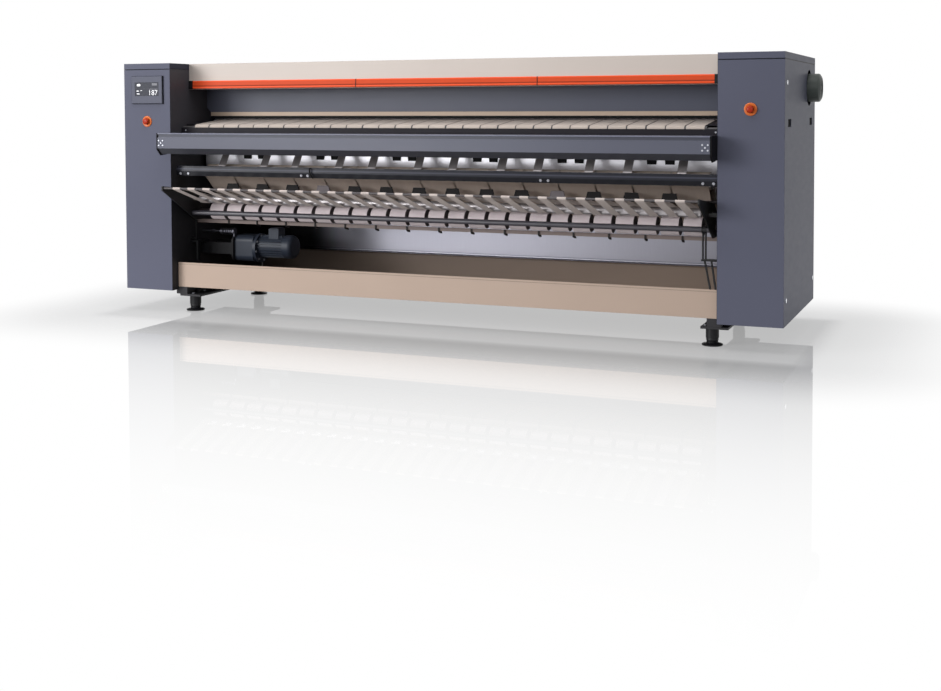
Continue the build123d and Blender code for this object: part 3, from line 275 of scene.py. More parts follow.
def powder_coat(name, colour, roughness=0.42, gloss=0.3, tone=None):
    """Baked powder paint: orange peel in the bump, cloudy flakes in the colour, rubbed gloss.

    `tone(finish, x, y, z)` gives one more factor for the colour from the place on the machine.
    """
    paint = Finish(name)
    place = paint.place()
    cloud = paint.noise(place, 2.2, 3.0)
    peel = paint.noise(place, 420.0, 1.0)
    rub = paint.noise(place, 9.0, 4.0, (1.0, 1.0, 4.0))
    shade = 0.92 + cloud * 0.1 + peel * 0.06
    if tone is not None:
        shade = shade * tone(paint, *paint.axes(place))
    return paint.surface(base_color=paint.shaded(colour, shade),
                         roughness=roughness - 0.05 + rub * 0.1, specular_ior_level=gloss,
                         normal=paint.bumped(peel, peel_depth, paint.soft_edges(fold_radius)))


def coat(material, *nodes):
    """Gives CAD nodes their material."""
    for node in nodes:
        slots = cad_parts[node].data.materials
        slots.clear()
        slots.append(material)


right_low, right_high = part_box("cabinet_right")
front, back, seam_z = right_low.y, right_high.y, right_high.z
middle = (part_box("cabinet_left")[0].x + right_high.x) / 2
inner_face = right_low.x - middle
# Painted shade: how far the seam under the lid and the inner sides of the casing are darkened.
seam_half, seam_shade, casing_sheet, inner_shade = 0.003, 0.82, 0.0015, 0.62


def cabinet_painted_shade(paint, x, y, z):
    """Painted shade: dark in the seam under the lid, for the shadow in the gap, and on the sides
    that face the linen.
    """
    seam = abs(z - seam_z) < seam_half
    inner = abs(x - middle) < inner_face + casing_sheet
    return (1.0 - seam * seam_shade) * (1.0 - inner * inner_shade)


coat(powder_coat("slate_powder_coat", tint(97, 99, 115), 0.42, 0.06, cabinet_painted_shade),
     "cabinet_left", "cabinet_right", "top_lid_left", "top_lid_right",
     "side_panel_left", "side_panel_right")


def skin(grid, wrap, ends):
    """Quads over a grid of points shaped (copies, rows, columns, 3).

    `wrap` joins the last row to the first; columns always join round. `ends` closes the first and
    last row of each copy with a many-sided face. Returns points, faces and one UV per corner:
    length along the rows and length round the columns, both in metres.
    """
    copies, rows, columns = grid.shape[:3]
    steps = np.linalg.norm(np.diff(grid, axis=1, append=grid[:, :1]), axis=3).mean(2)
    length = np.concatenate([np.zeros((copies, 1)), np.cumsum(steps, 1)], 1)
    girth = np.linalg.norm(np.diff(grid, axis=2, append=grid[:, :, :1]), axis=3).mean(1)
    girth = np.concatenate([np.zeros((copies, 1)), np.cumsum(girth, 1)], 1)
    last = rows if wrap else rows - 1
    k, i, j = np.meshgrid(np.arange(copies), np.arange(last), np.arange(columns), indexing="ij")
    next_i, next_j = (i + 1) % rows, (j + 1) % columns

    def number(a, b):
        return (k * rows + a) * columns + b

    quads = np.stack([number(i, j), number(i, next_j),
                      number(next_i, next_j), number(next_i, j)], -1)
    u = np.stack([length[k, i], length[k, i], length[k, i + 1], length[k, i + 1]], -1)
    v = np.stack([girth[k, j], girth[k, j + 1], girth[k, j + 1], girth[k, j]], -1)
    faces = quads.reshape(-1, 4).tolist()
    corners = np.stack([u, v], -1).reshape(-1, 2)
    if ends:
        first = (np.arange(copies) * rows * columns)[:, None] + np.arange(columns)[::-1]
        final = (np.arange(copies) * rows + rows - 1)[:, None] * columns + np.arange(columns)
        faces += first.tolist() + final.tolist()
        corners = np.concatenate([corners, np.zeros((2 * copies * columns, 2))])
    return grid.reshape(-1, 3), faces, corners


def carried(outline, stations, shrink, places, axis="x"):
    """A closed outline carried along an axis and drawn inwards by a distance at each station.

    The outline's points move along their outward normals, which are the averaged normals of the
    two edges that meet there; `sharpest` limits how far a sharp corner's point goes.
    `places` gives one (along, across, up) for each copy.
    """
    sharpest = 0.3
    ahead = np.roll(outline, -1, 0) - outline
    normal = np.stack([ahead[:, 1], -ahead[:, 0]], -1)
    normal /= np.linalg.norm(normal, axis=1, keepdims=True)
    normal = normal + np.roll(normal, 1, 0)
    normal /= np.maximum((normal ** 2).sum(1, keepdims=True) / 2, sharpest)
    section = outline[None] - normal[None] * np.asarray(shrink, float)[:, None, None]
    grid = np.empty((len(places), len(stations), len(outline), 3))
    grid[..., 0] = np.asarray(stations, float)[None, :, None]
    grid[..., 1:] = section[None]
    grid = grid + np.asarray(places, float)[:, None, None, :]
    order = {"x": (0, 1, 2), "y": (1, 0, 2), "z": (1, 2, 0)}[axis]
    return skin(grid[..., list(order)], False, True)


def rounded_box(width, height, radius, steps=5):
    """A rectangle with round corners, as points turned the same way as a circle's."""
    angle = np.linspace(0.0, math.pi / 2, steps)
    arc = radius * np.stack([np.cos(angle), np.sin(angle)], -1)
    corner = np.array([width / 2 - radius, height / 2 - radius])
    quarter = arc + corner
    half = np.concatenate([quarter, quarter[::-1] * (-1, 1)])
    return np.concatenate([half, -half])


def declare(mesh, name, material, body, nodes=()):
    """Makes an object of a mesh, on its body and in its slot, in place of CAD nodes."""
    mesh.materials.append(material)
    made = bpy.data.objects.new(name, mesh)
    studio.collection.objects.link(made)
    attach(made, body)
    if nodes:
        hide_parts(*nodes)


def piece(name, skins, material, body, nodes=(), crease=35.0):
    """One object from several skins, with outward faces, shaded smooth up to the crease angle."""
    points, faces, corners, shift = [], [], [], 0
    for skin_points, skin_faces, skin_corners in skins:
        points.append(skin_points)
        faces += [[n + shift for n in face] for face in skin_faces]
        corners.append(skin_corners)
        shift += len(skin_points)
    mesh = bpy.data.meshes.new(name)
    mesh.from_pydata(np.concatenate(points).tolist(), [], faces)
    mesh.uv_layers.new(name="UVMap").data.foreach_set("uv", np.concatenate(corners).ravel())
    shell = bmesh.new()
    shell.from_mesh(mesh)
    bmesh.ops.recalc_face_normals(shell, faces=shell.faces)
    shell.to_mesh(mesh)
    shell.free()
    mesh.shade_smooth()
    mesh.set_sharp_from_angle(angle=math.radians(crease))
    declare(mesh, name, material, body, nodes)


# Grip cups: black moulded plastic, clipped into the side panels' recesses. Each is a tapered plug
# whose front lies four millimetres behind the sheet's face.
grain_depth, moulded_edge = 0.00003, 0.0008


def moulded(name, colour, roughness=0.36, gloss=0.35, tone=None):
    """Moulded plastic: spark-eroded grain in the bump and slight mottling in colour and gloss."""
    plastic = Finish(name)
    place = plastic.place()
    grain = plastic.noise(place, 650.0, 1.0)
    mottle = plastic.noise(place, 30.0, 3.0)
    shade = 0.95 + mottle * 0.1
    if tone is not None:
        shade = shade * tone(plastic, *plastic.axes(place))
    return plastic.surface(base_color=plastic.shaded(colour, shade),
                           roughness=roughness - 0.04 + mottle * 0.08,
                           specular_ior_level=gloss,
                           normal=plastic.bumped(grain, grain_depth,
                                                 plastic.soft_edges(moulded_edge)))


black_plastic = moulded("black_moulding", tint(6, 6, 8), 0.55, 0.12)
cup_black = moulded("cup_black", tint(3, 3, 4), 0.7, 0.02)
grip_width, grip_height, grip_z, grip_from_end = 0.0985, 0.0385, 1.163, 0.156
panel_left, panel_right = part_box("side_panel_left"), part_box("side_panel_right")
cup_corner, cup_taper = 0.004, [0.0, 0.0, 0.004, 0.007]
cup_depths = np.array([0.004, 0.0055, 0.006, 0.020])
cup_outline = rounded_box(grip_width, grip_height, cup_corner)
for side, outer, inward in (("left", panel_left[0].x, 1.0), ("right", panel_right[1].x, -1.0)):
    cup = carried(cup_outline, cup_depths * inward, cup_taper,
                  [(outer, y, grip_z) for y in (front + grip_from_end, back - grip_from_end)])
    piece("grip_cups_" + side, [cup], cup_black, "machine")

# Side frames: welded steel plates in brown-black paint that carry the rollers. Their colour is
# lighter above the feed table, as painted light, and darker under it, as painted shade.
table_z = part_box("feed_table")[0].z
# Painted light and shade: the share kept under the feed table and the share added above it.
under_table_shade, above_table_light = 0.7, 1.1


def frame_painted_light(paint, x, y, z):
    """Painted shade under the table, and painted light above it."""
    return under_table_shade + (z > table_z) * above_table_light


coat(powder_coat("frame_black_paint", tint(45, 44, 48), 0.5, 0.3, frame_painted_light),
     "side_frame_left", "side_frame_right")

# Levelling feet: turned steel, painted black. A threaded stud with a lock nut stands in each pad,
# and a sleeve under the foot plate takes the thread.


def turned(profile, places, axis="z", sides=40):
    """A turned piece from its profile of (along, radius) points, one for each place."""
    along, radius = np.array(profile).T
    widest = radius.max()
    angle = np.linspace(0.0, 2 * math.pi, sides, endpoint=False)
    ring = widest * np.stack([np.cos(angle), np.sin(angle)], -1)
    return carried(ring, along, widest - radius, places, axis)


feet_low, feet_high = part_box("levelling_feet")
pad_radius = 0.055
feet_places = [(0.0, x, y) for x in (feet_low.x + pad_radius, feet_high.x - pad_radius)
               for y in (feet_low.y + pad_radius, feet_high.y - pad_radius)]
thread_foot, thread_top, half_turn = 0.016, 0.028, 0.0015
thread_root, thread_rise, nut_radius, socket_radius = 0.0298, 0.0009, 0.0325, 0.0345
thread = [(z, thread_root + thread_rise * (n % 2))
          for n, z in enumerate(np.arange(thread_foot, thread_top, half_turn))]
foot_profile = [(0.0, 0.053), (0.002, pad_radius), (0.007, pad_radius), (0.009, 0.052),
                (0.012, 0.034), (0.0145, 0.0305), *thread, (0.0285, nut_radius),
                (0.038, nut_radius), (0.0405, 0.0315), (0.041, socket_radius),
                (0.094, socket_radius), (0.095, 0.0335), (0.0995, 0.0335)]
piece("turned_feet", [turned(foot_profile, feet_places)],
      powder_coat("foot_black", tint(20, 20, 23), 0.42, 0.25), "machine",
      ["levelling_feet"])

# Heated cylinder: a ground and polished steel shell on hollow journals in flanged bearings,
# faintly streaked round its girth by the linen. Its heating core and its chain drive are hidden.
line_depth, steel_edge = 0.00002, 0.0008


def steel(name, colour, roughness, grain=0.1, along=(1.0, 60.0, 60.0), metal=1.0, tone=None):
    """Bare or plated steel: drawn-out grain in gloss and bump, cloudy with handling."""
    bright = Finish(name)
    place = bright.place()
    lines = bright.noise(place, 12.0, 4.0, along)
    cloud = bright.noise(place, 3.0, 3.0)
    shade = 0.88 + lines * 0.14 + cloud * 0.08
    if tone is not None:
        shade = shade * tone(bright, *bright.axes(place))
    return bright.surface(base_color=bright.shaded(colour, shade),
                          roughness=roughness - grain / 2 + lines * grain, metallic=metal,
                          normal=bright.bumped(lines, line_depth, bright.soft_edges(steel_edge)))


def centre(node):
    """The middle of a CAD node in Y and Z."""
    low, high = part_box(node)
    return (low.y + high.y) / 2, (low.z + high.z) / 2


def eased(half, radius, ease):
    """The profile of a round bar with eased ends, as (along, radius) points."""
    return [(-half, radius - ease), (ease - half, radius), (half - ease, radius),
            (half, radius - ease)]


def bar(node, radius, half, ease, shafts=(), sides=48):
    """A turned bar with eased ends on a CAD node's axis, with (radius, half length) shafts."""
    y, z = centre(node)
    skins = [turned(eased(half, radius, ease), [(middle, y, z)], "x", sides)]
    for shaft_radius, shaft_half in shafts:
        for side in (-1.0, 1.0):
            skins.append(turned([(side * half, shaft_radius), (side * shaft_half, shaft_radius)],
                                [(middle, y, z)], "x", 24))
    return skins


cylinder_radius, cylinder_half, journal_radius, journal_end = 0.3, 1.65, 0.06, 1.748
piece("cylinder_shell",
      bar("heated_cylinder", cylinder_radius, cylinder_half, 0.004,
          [(journal_radius, journal_end)], 128),
      steel("polished_cylinder", tint(240, 239, 246), 0.38, 0.12, metal=0.7), "cylinder",
      ["heated_cylinder"])
machined = steel("machined_steel", tint(196, 194, 192), 0.34, 0.12)
coat(machined, "cylinder_sprocket", "drive_sprocket", "drive_chain", "heater_core")
coat(powder_coat("bearing_casting", tint(62, 62, 66), 0.6), "cylinder_bearings")

# Belt rollers: five steel tubes that lead the ironing belts round the cylinder and back. They turn
# with the belts, on stub shafts in the side frames.
roller_radius, roller_half, stub_radius, stub_end = 0.046, 1.584, 0.018, 1.676
belt_rollers = ("entry", "exit", "low", "rear_low", "rear_high")
for roller in belt_rollers:
    piece("belt_roller_" + roller + "_bar",
          bar("belt_roller_" + roller, roller_radius, roller_half, 0.003,
              [(stub_radius, stub_end)]), machined,
          "belt_roller_" + roller + "_body", ["belt_roller_" + roller])

# Ironing belts: fifteen endless belts of heat-proof woven felt. Each is drawn in a little where it
# turns over the low roller, is closed with a laced seam, and has its own worn tone.
threads, weave_depth, selvedge = 2600.0, 0.0002, 0.955
seam_start, seam_spread, seam_slant, lace_half = 0.35, 1.3, 0.25, 0.0025


def woven_belt(name, colour, count, pitch, width, streak=0.14, edge_shade=0.25, seam=0.45):
    """Woven belting: weave from the belt's own length and width, lint streaks, and edges darkened
    with painted shade.

    Belts in a row are told apart by the cell of the row that a point lies in, and each cell draws
    its belt's tone and the place of its laced seam.
    """
    cloth = Finish(name)
    place = cloth.place()
    across = cloth.axes(place)[0]
    along = cloth.axes(cloth.node("UVMap", {}, {}))[0]
    cell = (across - middle) / pitch + (0.5 if count % 2 else 0.0)
    index = cell.math("FLOOR", cell)
    draw = cloth.node("TexWhiteNoise", {"noise_dimensions": "1D"}, {"W": index + 0.37})
    cloud = cloth.noise(place, 7.0, 4.0)
    wear = cloth.noise(place, 14.0, 3.0, (3.0, 0.4, 0.4))
    off = cell - index - 0.5
    edge = abs(off) * (2.0 * pitch / width)
    weave = along.math("SINE", along * threads) * across.math("SINE", across * threads)
    slant = along - draw * seam_spread - seam_start + off * pitch * seam_slant
    lace = abs(slant) < lace_half
    shade = (0.94 + draw * 0.1) * (1.0 + (wear - 0.5) * streak + (cloud - 0.5) * 0.14)
    # Painted shade: each belt is darkened along its edges.
    shade = shade * (1.0 - (edge > selvedge) * edge_shade) * (1.0 - lace * seam)
    return cloth.surface(base_color=cloth.shaded(colour, shade), roughness=0.86 + weave * 0.04,
                         specular_ior_level=0.2, sheen_weight=0.1,
                         normal=cloth.bumped(weave * 0.5 + cloud, weave_depth))


def row(count, pitch):
    """Places of a centred row along the machine."""
    return middle + pitch * (np.arange(count) - (count - 1) / 2)


def loop_line(wheels, step):
    """An endless belt's line round wheels (y, z, radius, turn): points, headings, wheel numbers.

    Each straight run touches two wheels: its heading is the angle between their centres less the
    arc sine of the difference of their signed radii over their distance. Each wrap turns evenly
    from one heading to the next, about `step` radians at a time.
    """
    y, z, radius, turn = np.array(wheels).T
    next_y, next_z, signed = np.roll(y, -1), np.roll(z, -1), radius * turn
    gap = np.hypot(next_y - y, next_z - z)
    heading = np.arctan2(next_z - z, next_y - y) - np.arcsin((np.roll(signed, -1) - signed) / gap)
    came = np.roll(heading, 1)
    sweep = (turn * (heading - came)) % (2 * math.pi)
    lines = []
    for k in range(len(y)):
        parts = max(2, int(np.ceil(sweep[k] / step)))
        angle = came[k] + turn[k] * sweep[k] * np.linspace(0.0, 1.0, parts + 1)
        lines.append(np.stack([y[k] + signed[k] * np.sin(angle), z[k] - signed[k] * np.cos(angle),
                               angle, np.full(parts + 1, k)], -1))
    line = np.concatenate(lines)
    return line[:, :2], line[:, 2], line[:, 3]


def belts(line, heading, thickness, width, places):
    """Endless belts: a flat section with eased edges carried along a loop, once for each place.

    The section lies from the loop outwards, `thickness` deep and `width` wide along X; the width
    may change from point to point of the line.
    """
    widest_ease = 0.0008
    ease = min(thickness * 0.3, widest_ease)
    side = np.array([-1, 1, 1, 1, 1, -1, -1, -1])
    eased = np.array([-1, -1, 0, 0, -1, -1, 0, 0]) * ease
    up = np.array([0, 0, ease, thickness - ease, thickness, thickness, thickness - ease, ease])
    half = np.broadcast_to(np.asarray(width) / 2, len(line))
    outward = np.stack([np.sin(heading), -np.cos(heading)], -1)
    grid = np.empty((len(places), len(line), len(up), 3))
    grid[..., 0] = np.asarray(places)[:, None, None] + (side * (half[:, None] + eased))[None]
    grid[..., 1:] = (line[:, None, :] + outward[:, None, :] * up[None, :, None])[None]
    return skin(grid, True, False)


belt_count, belt_pitch, belt_wide, belt_drawn_in = 15, 0.21, 0.205, 0.175
belt_thick, belt_gap, belt_step, low_wheel = 0.004, 0.0003, 0.12, 3
belt_wheels = [(*centre("belt_roller_" + roller), roller_radius + belt_gap, 1.0)
               for roller in belt_rollers]
belt_wheels.insert(1, (*centre("heated_cylinder"), cylinder_radius + belt_gap + belt_thick, -1.0))
belt_line, belt_heading, belt_wheel = loop_line(belt_wheels, belt_step)
belt_width = np.where(belt_wheel == low_wheel, belt_drawn_in, belt_wide)
piece("ironing_belt_set",
      [belts(belt_line, belt_heading, belt_thick, belt_width, row(belt_count, belt_pitch))],
      woven_belt("ironing_belt_weave", tint(196, 180, 168), belt_count, belt_pitch, belt_wide,
                 edge_shade=0.1), "machine", ["ironing_belts"])

# Feed table: a dark steel slider plate with a folded apron. Thirty thin feed belts run over it
# round a nose roller and a drive roller, and track up to 1.5 mm to either side of their places.
coat(powder_coat("apron_dark_paint", tint(34, 32, 38), 0.48, 0.12), "feed_table")
feed_radius, feed_shaft = 0.018, 0.01
feed_count, feed_pitch, feed_thick, feed_step = 30, 0.105, 0.0017, 0.3
feed_wide, nose_wide, nose_wheel, feed_stray = 0.1008, 0.0975, 0, 0.0015
feed_rollers = ("feed_nose_roller", "feed_drive_roller")
for roller in feed_rollers:
    piece(roller + "_bar",
          bar(roller, feed_radius, roller_half, 0.0015, [(feed_shaft, stub_end)], 32),
          powder_coat(roller + "_dark", tint(70, 68, 70), 0.4), roller + "_body",
          [roller])
feed_wheels = [(*centre(roller), feed_radius + belt_gap, 1.0) for roller in feed_rollers]
feed_line, feed_heading, feed_wheel = loop_line(feed_wheels, feed_step)
feed_width = np.where(feed_wheel == nose_wheel, nose_wide, feed_wide)
feed_places = row(feed_count, feed_pitch) + feed_stray * np.sin(np.arange(feed_count) * 2.4)
piece("feed_belt_set", [belts(feed_line, feed_heading, feed_thick, feed_width, feed_places)],
      woven_belt("feed_belt_weave", tint(188, 176, 167), feed_count, feed_pitch, feed_wide, 0.1,
                 0.3, 0.55), "machine", ["feed_belts"])

# Front rail: a drawn profile in slate grey paint in front of the feed table, with painted shade on
# its slanted underside and on a band above its face, and a painted highlight on its rolled top
# edge.
# A black plastic arm holds it at each end.
rail_low, rail_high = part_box("front_rail")
# Heights of the painted shade on the underside and band, and of the painted highlight on the top
# edge.
rail_slant, rail_band, rail_edge = 0.0345, 0.022, 0.006


def rail_painted_light(paint, x, y, z):
    """Painted shade on the slanted underside and a band above the face, a painted highlight on the
    top edge.
    """
    under = z < rail_low.z + rail_slant
    edge = z > rail_high.z - rail_edge
    band = (z > rail_high.z - rail_band) - edge
    return 1.0 - under * 0.7 - band * 0.35 + edge * 0.7


coat(powder_coat("rail_grey_paint", tint(93, 95, 109), 0.34, 0.25, rail_painted_light), "front_rail")
coat(black_plastic, "rail_arms")

# Guard with windows: pressed steel with twelve tabs, coloured lighter towards their lowest edges
# and
# bright on them. Scraper bar behind it: black shoes that lift the linen off the cylinder.
guard_low, guard_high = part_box("window_guard")
bright_lip_height = 0.008


# The tabs' colour grows lighter towards the bottom and is bright on their lowest edges.
def lip_brightening(paint, x, y, z):
    """Bright on the tabs' lowest edges and a shade lighter towards them."""
    rise = (z - guard_low.z) / (guard_high.z - guard_low.z)
    return (1.15 - rise * 0.4) * (1.0 + (z < guard_low.z + bright_lip_height) * 2.6)


coat(steel("guard_steel", tint(104, 100, 101), 0.42, 0.1, metal=0.35, tone=lip_brightening),
     "window_guard")
coat(black_plastic, "scraper_bar")

# Cross beam: a hollow section in dark paint, bolted to the side frames, that carries a small black
# hand lever of bent rod.
beam_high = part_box("cross_beam")[1]
edge_drop, edge_foot, beam_foot = 0.013, 0.021, 0.034


# Painted light: a highlight on the beam's rolled edge and shade on its downward foot, in the
# colour.
def beam_painted_light(paint, x, y, z):
    """A painted highlight on the rolled edge below the top face, and painted shade on the foot."""
    edge = (z < beam_high.z - edge_drop) - (z < beam_high.z - edge_foot)
    foot = z < beam_high.z - beam_foot
    return 1.0 + edge * 1.6 - foot * 0.5


coat(powder_coat("beam_dark_paint", tint(38, 39, 47), 0.36, 0.2, beam_painted_light), "cross_beam")


def bent_rod(points, radius, sides=12):
    """A round rod along points: circles square to the mean direction of the two runs that meet.

    Each circle is spanned by the X axis and its cross product with the direction, so the rod may
    run any way but along X.
    """
    line = np.array(points, float)
    run = np.gradient(line, axis=0)
    run /= np.linalg.norm(run, axis=1, keepdims=True)
    second = np.cross(run, (1.0, 0.0, 0.0))
    second /= np.linalg.norm(second, axis=1, keepdims=True)
    first = np.cross(second, run)
    angle = np.linspace(0.0, 2 * math.pi, sides, endpoint=False)[None, :, None]
    ring = first[:, None] * np.cos(angle) + second[:, None] * np.sin(angle)
    return skin((line[:, None] + radius * ring)[None], False, True)


lever_place, lever_radius = np.array([middle - 0.722, front + 0.048, 0.865]), 0.0042
lever_bends = np.array([(-0.008, 0.012, 0.031), (-0.008, 0.0, 0.03), (-0.005, -0.004, 0.01),
                        (0.002, -0.004, -0.006), (0.007, 0.0, -0.018), (0.012, 0.006, -0.027)])
piece("beam_lever", [bent_rod(lever_place + lever_bends, lever_radius)], black_plastic, "machine")

# Belt combs: dark guide plates on a round bar that keep the ironing belts apart. The fourth from
# either end is a bare steel one.
bare_comb, bare_bright = 3.5 * belt_pitch, 16.0


def bare_combs(paint, x, y, z):
    """Light within one comb's width of the two bare ones."""
    off = abs(abs(x - middle) - bare_comb)
    return 1.0 + (off < belt_pitch / 4) * bare_bright


coat(powder_coat("comb_dark_paint", tint(27, 25, 26), 0.5, 0.12, bare_combs), "belt_combs")

# Return rack: black side plates hold a slim front tube, a tape roller and a dark rod. Thirty
# narrow tapes run round the tube and the roller, and black stays tie the rack to the frames.
coat(moulded("rack_black", tint(24, 24, 26), 0.42), "rack_side_plates")
coat(powder_coat("rod_dark_paint", tint(64, 62, 70), 0.32, 0.5), "rack_rod")
coat(moulded("stay_black", tint(14, 14, 17), 0.35, 0.3), "rack_stays")
tube_steel = steel("tube_steel", tint(176, 172, 174), 0.4, metal=0.8)
tube_low, tube_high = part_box("rack_front_tube")
tube_half, tube_radius = (tube_high.x - tube_low.x) / 2, (tube_high.z - tube_low.z) / 2
piece("front_tube_bar", bar("rack_front_tube", tube_radius, tube_half, 0.001, (), 24),
      powder_coat("tube_dark_paint", tint(84, 80, 82), 0.4), "machine",
      ["rack_front_tube"])
tape_radius, tape_half, tape_shaft, tape_end = 0.024, 1.553, 0.01, 1.611
piece("tape_roller_bar",
      bar("tape_roller", tape_radius, tape_half, 0.002, [(tape_shaft, tape_end)], 32),
      tube_steel, "rack_roller", ["tape_roller"])
tape_count, tape_pitch, tape_wide, tape_thick, tape_step = 30, 0.1042, 0.05, 0.001, 0.35
tape_wheels = [(*centre("rack_front_tube"), tube_radius + belt_gap, 1.0),
               (*centre("tape_roller"), tape_radius + belt_gap, 1.0)]
tape_line, tape_heading = loop_line(tape_wheels, tape_step)[:2]
piece("return_tape_set",
      [belts(tape_line, tape_heading, tape_thick, tape_wide, row(tape_count, tape_pitch))],
      woven_belt("return_tape_weave", tint(206, 194, 188), tape_count, tape_pitch, tape_wide,
                 0.1, 0.2, 0.3), "machine", ["return_tapes"])

# Segmented roller: twenty-five pale rubber sleeves on one dark shaft, with a gap between each two.
# The row sits a little to the right of the machine's middle.
sleeve_count, sleeve_pitch, sleeve_shift = 25, 0.1231, 0.02
sleeve_half, sleeve_radius, sleeve_ease, core_radius = 0.0505, 0.05, 0.0015, 0.015
# Painted shade: how far the sleeves' end faces are darkened, for the shade in the gaps between
# them.
rubber_grain, end_painted_shade = 0.00004, 0.85


def rubber(name, colour, roughness=0.6):
    """Moulded rubber: chalky bloom in the colour, a fine grain in the bump, and ends darkened with
    painted shade.
    """
    sleeve = Finish(name)
    place = sleeve.place()
    bloom = sleeve.noise(place, 16.0, 4.0)
    grain = sleeve.noise(place, 500.0, 1.0)
    cell = (sleeve.axes(place)[0] - middle - sleeve_shift) / sleeve_pitch + 0.5
    off = abs(cell - cell.math("FLOOR", cell) - 0.5)
    ends = off > (sleeve_half - sleeve_ease) / sleeve_pitch
    shade = (0.9 + bloom * 0.16) * (1.0 - ends * end_painted_shade)
    return sleeve.surface(base_color=sleeve.shaded(colour, shade),
                          roughness=roughness + bloom * 0.12, specular_ior_level=0.3,
                          normal=sleeve.bumped(grain, rubber_grain))


sleeve_y, sleeve_z = centre("segmented_roller")
sleeve_places = [(x, sleeve_y, sleeve_z) for x in row(sleeve_count, sleeve_pitch) + sleeve_shift]
piece("roller_sleeves",
      [turned(eased(sleeve_half, sleeve_radius, sleeve_ease), sleeve_places, "x")],
      rubber("sleeve_rubber", tint(232, 219, 222)), "sleeve_roller",
      ["segmented_roller"])
piece("sleeve_shaft",
      [turned([(-stub_end, core_radius), (stub_end, core_radius)],
              [(middle, sleeve_y, sleeve_z)], "x", 8)],
      powder_coat("sleeve_shaft_dark", tint(46, 40, 42), 0.4), "sleeve_roller")

# Strip under the roller: folded steel in beige paint, between the side frames. Fifteen black
# J-shaped fingers curl back under it from its front edge.
strip_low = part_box("hook_strip")[0]
finger, fold_drop, hair = 0.008, 0.017, 0.0004


def black_fingers(paint, x, y, z):
    """Black where a point stands out in front of the strip or below its fold."""
    out = (y < strip_low.y + finger - hair).most(z < strip_low.z + fold_drop - hair)
    return 1.0 - out * 0.95


coat(powder_coat("strip_beige_paint", tint(134, 120, 116), 0.42, 0.25, black_fingers),
     "hook_strip")

# Hood and rear panel: folded steel sheet in cream powder paint. The hood closes the top between
# the cabinets, and the panel closes the back.
coat(powder_coat("cream_powder_coat", tint(206, 195, 187), 0.44, 0.3), "hood", "rear_panel")

# Trim bar: an orange moulded profile with a ridge along its foot, snapped on to the hood in three
# lengths, with dark joiners between them and at both ends.
trim_low, trim_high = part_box("trim_bar")
trim_depth, trim_rise, ridge, step = 0.009, trim_high.z - trim_low.z, 0.013, 0.002
trim_outline = np.array([(0.0, 0.0), (0.0, trim_rise), (2 * step - trim_depth, trim_rise),
                         (step - trim_depth, trim_rise - 2 * step),
                         (step - trim_depth, ridge + 2 * step),
                         (0.4 * step - trim_depth, ridge + step), (-trim_depth, ridge),
                         (-trim_depth, step), (0.4 * step - trim_depth, 0.0)])[::-1]
trim_ends = (middle - 1.638, middle - 0.501, middle + 0.624, middle + 1.608)
trim_place = [(0.0, trim_high.y, trim_low.z)]
hood_half, joiner_width, joiner_sunk = 1.664, 0.005, 0.0008
shade_top, crest_foot, top_edge, foot_edge = 0.021, 0.005, 0.006, 0.003
trims = [carried(trim_outline, [start + joiner_width, end], [0.0, 0.0], trim_place)
         for start, end in zip(trim_ends, trim_ends[1:])]


def ridge_painted_light(plastic, x, y, z):
    """Painted shade above the ridge, under it and along the foot, and painted highlight on its
    crest and top.
    """
    rise = z - trim_low.z
    shade = (rise < shade_top) - (rise < ridge)
    crest = (rise < ridge) - (rise < crest_foot)
    top = rise > trim_rise - top_edge
    return 1.0 - shade * 0.5 + crest * 0.45 + top * 0.45 - (rise < foot_edge) * 0.4


piece("orange_trim", trims,
      moulded("orange_trim_plastic", tint(207, 74, 36), 0.42, 0.15, ridge_painted_light), "machine",
      ["trim_bar"])
dark_starts = (middle - hood_half, *trim_ends[1:])
dark_ends = (*(end + joiner_width for end in trim_ends[:-1]), middle + hood_half)
joiners = [carried(trim_outline, span, [joiner_sunk] * 2, trim_place)
           for span in zip(dark_starts, dark_ends)]
piece("dark_trim_joiners", joiners, moulded("joiner_plastic", tint(18, 17, 19), 0.45, 0.15),
      "machine", ["trim_joiners"])

# Finger guard: a dark grey flap of sheet steel on a hinge rod, with a beige folded lip along its
# lower edge and a black rubber edge under that. It gives way when a hand goes under it.
coat(powder_coat("guard_grey_paint", tint(80, 83, 97), 0.4, 0.22), "finger_guard")
coat(machined, "guard_hinge_rod")
flap_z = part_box("finger_guard")[0].z
lip_ahead, lip_half, lip_drop = 0.0012, 1.633, 0.0245
lip_fold, lip_sheet, lap = 0.009, 0.002, 0.008
lip_y = centre("guard_hinge_rod")[0] + lip_ahead
rubber_thick, rubber_tall, rubber_round = 0.004, 0.018, 0.0015
rubber_back, rubber_drop = 0.0045, 0.006
lip_outline = np.array([(0.0, 0.0), (lip_fold, 0.0), (lip_fold, lip_sheet), (lip_sheet, lip_sheet),
                        (lip_sheet, lip_drop + lap), (0.0, lip_drop + lap)])
lip_span = [middle - lip_half, middle + lip_half]
piece("guard_lip",
      [carried(lip_outline, lip_span, [0.0, 0.0], [(0.0, lip_y, flap_z - lip_drop)])],
      powder_coat("lip_beige_paint", tint(188, 168, 150), 0.42, 0.25), "finger_flap")
edge_outline = rounded_box(rubber_thick, rubber_tall, rubber_round, 3)
piece("guard_rubber_edge",
      [carried(edge_outline, lip_span, [0.0, 0.0],
               [(0.0, lip_y + rubber_back, flap_z - lip_drop - rubber_drop)])],
      black_plastic, "finger_flap")

# Trough and rear liner: a tan painted trough with hemmed edges that catches lint, and a bright
# stainless sheet behind it.
trough_low, trough_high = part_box("trough")
liner_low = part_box("rear_liner")[0]
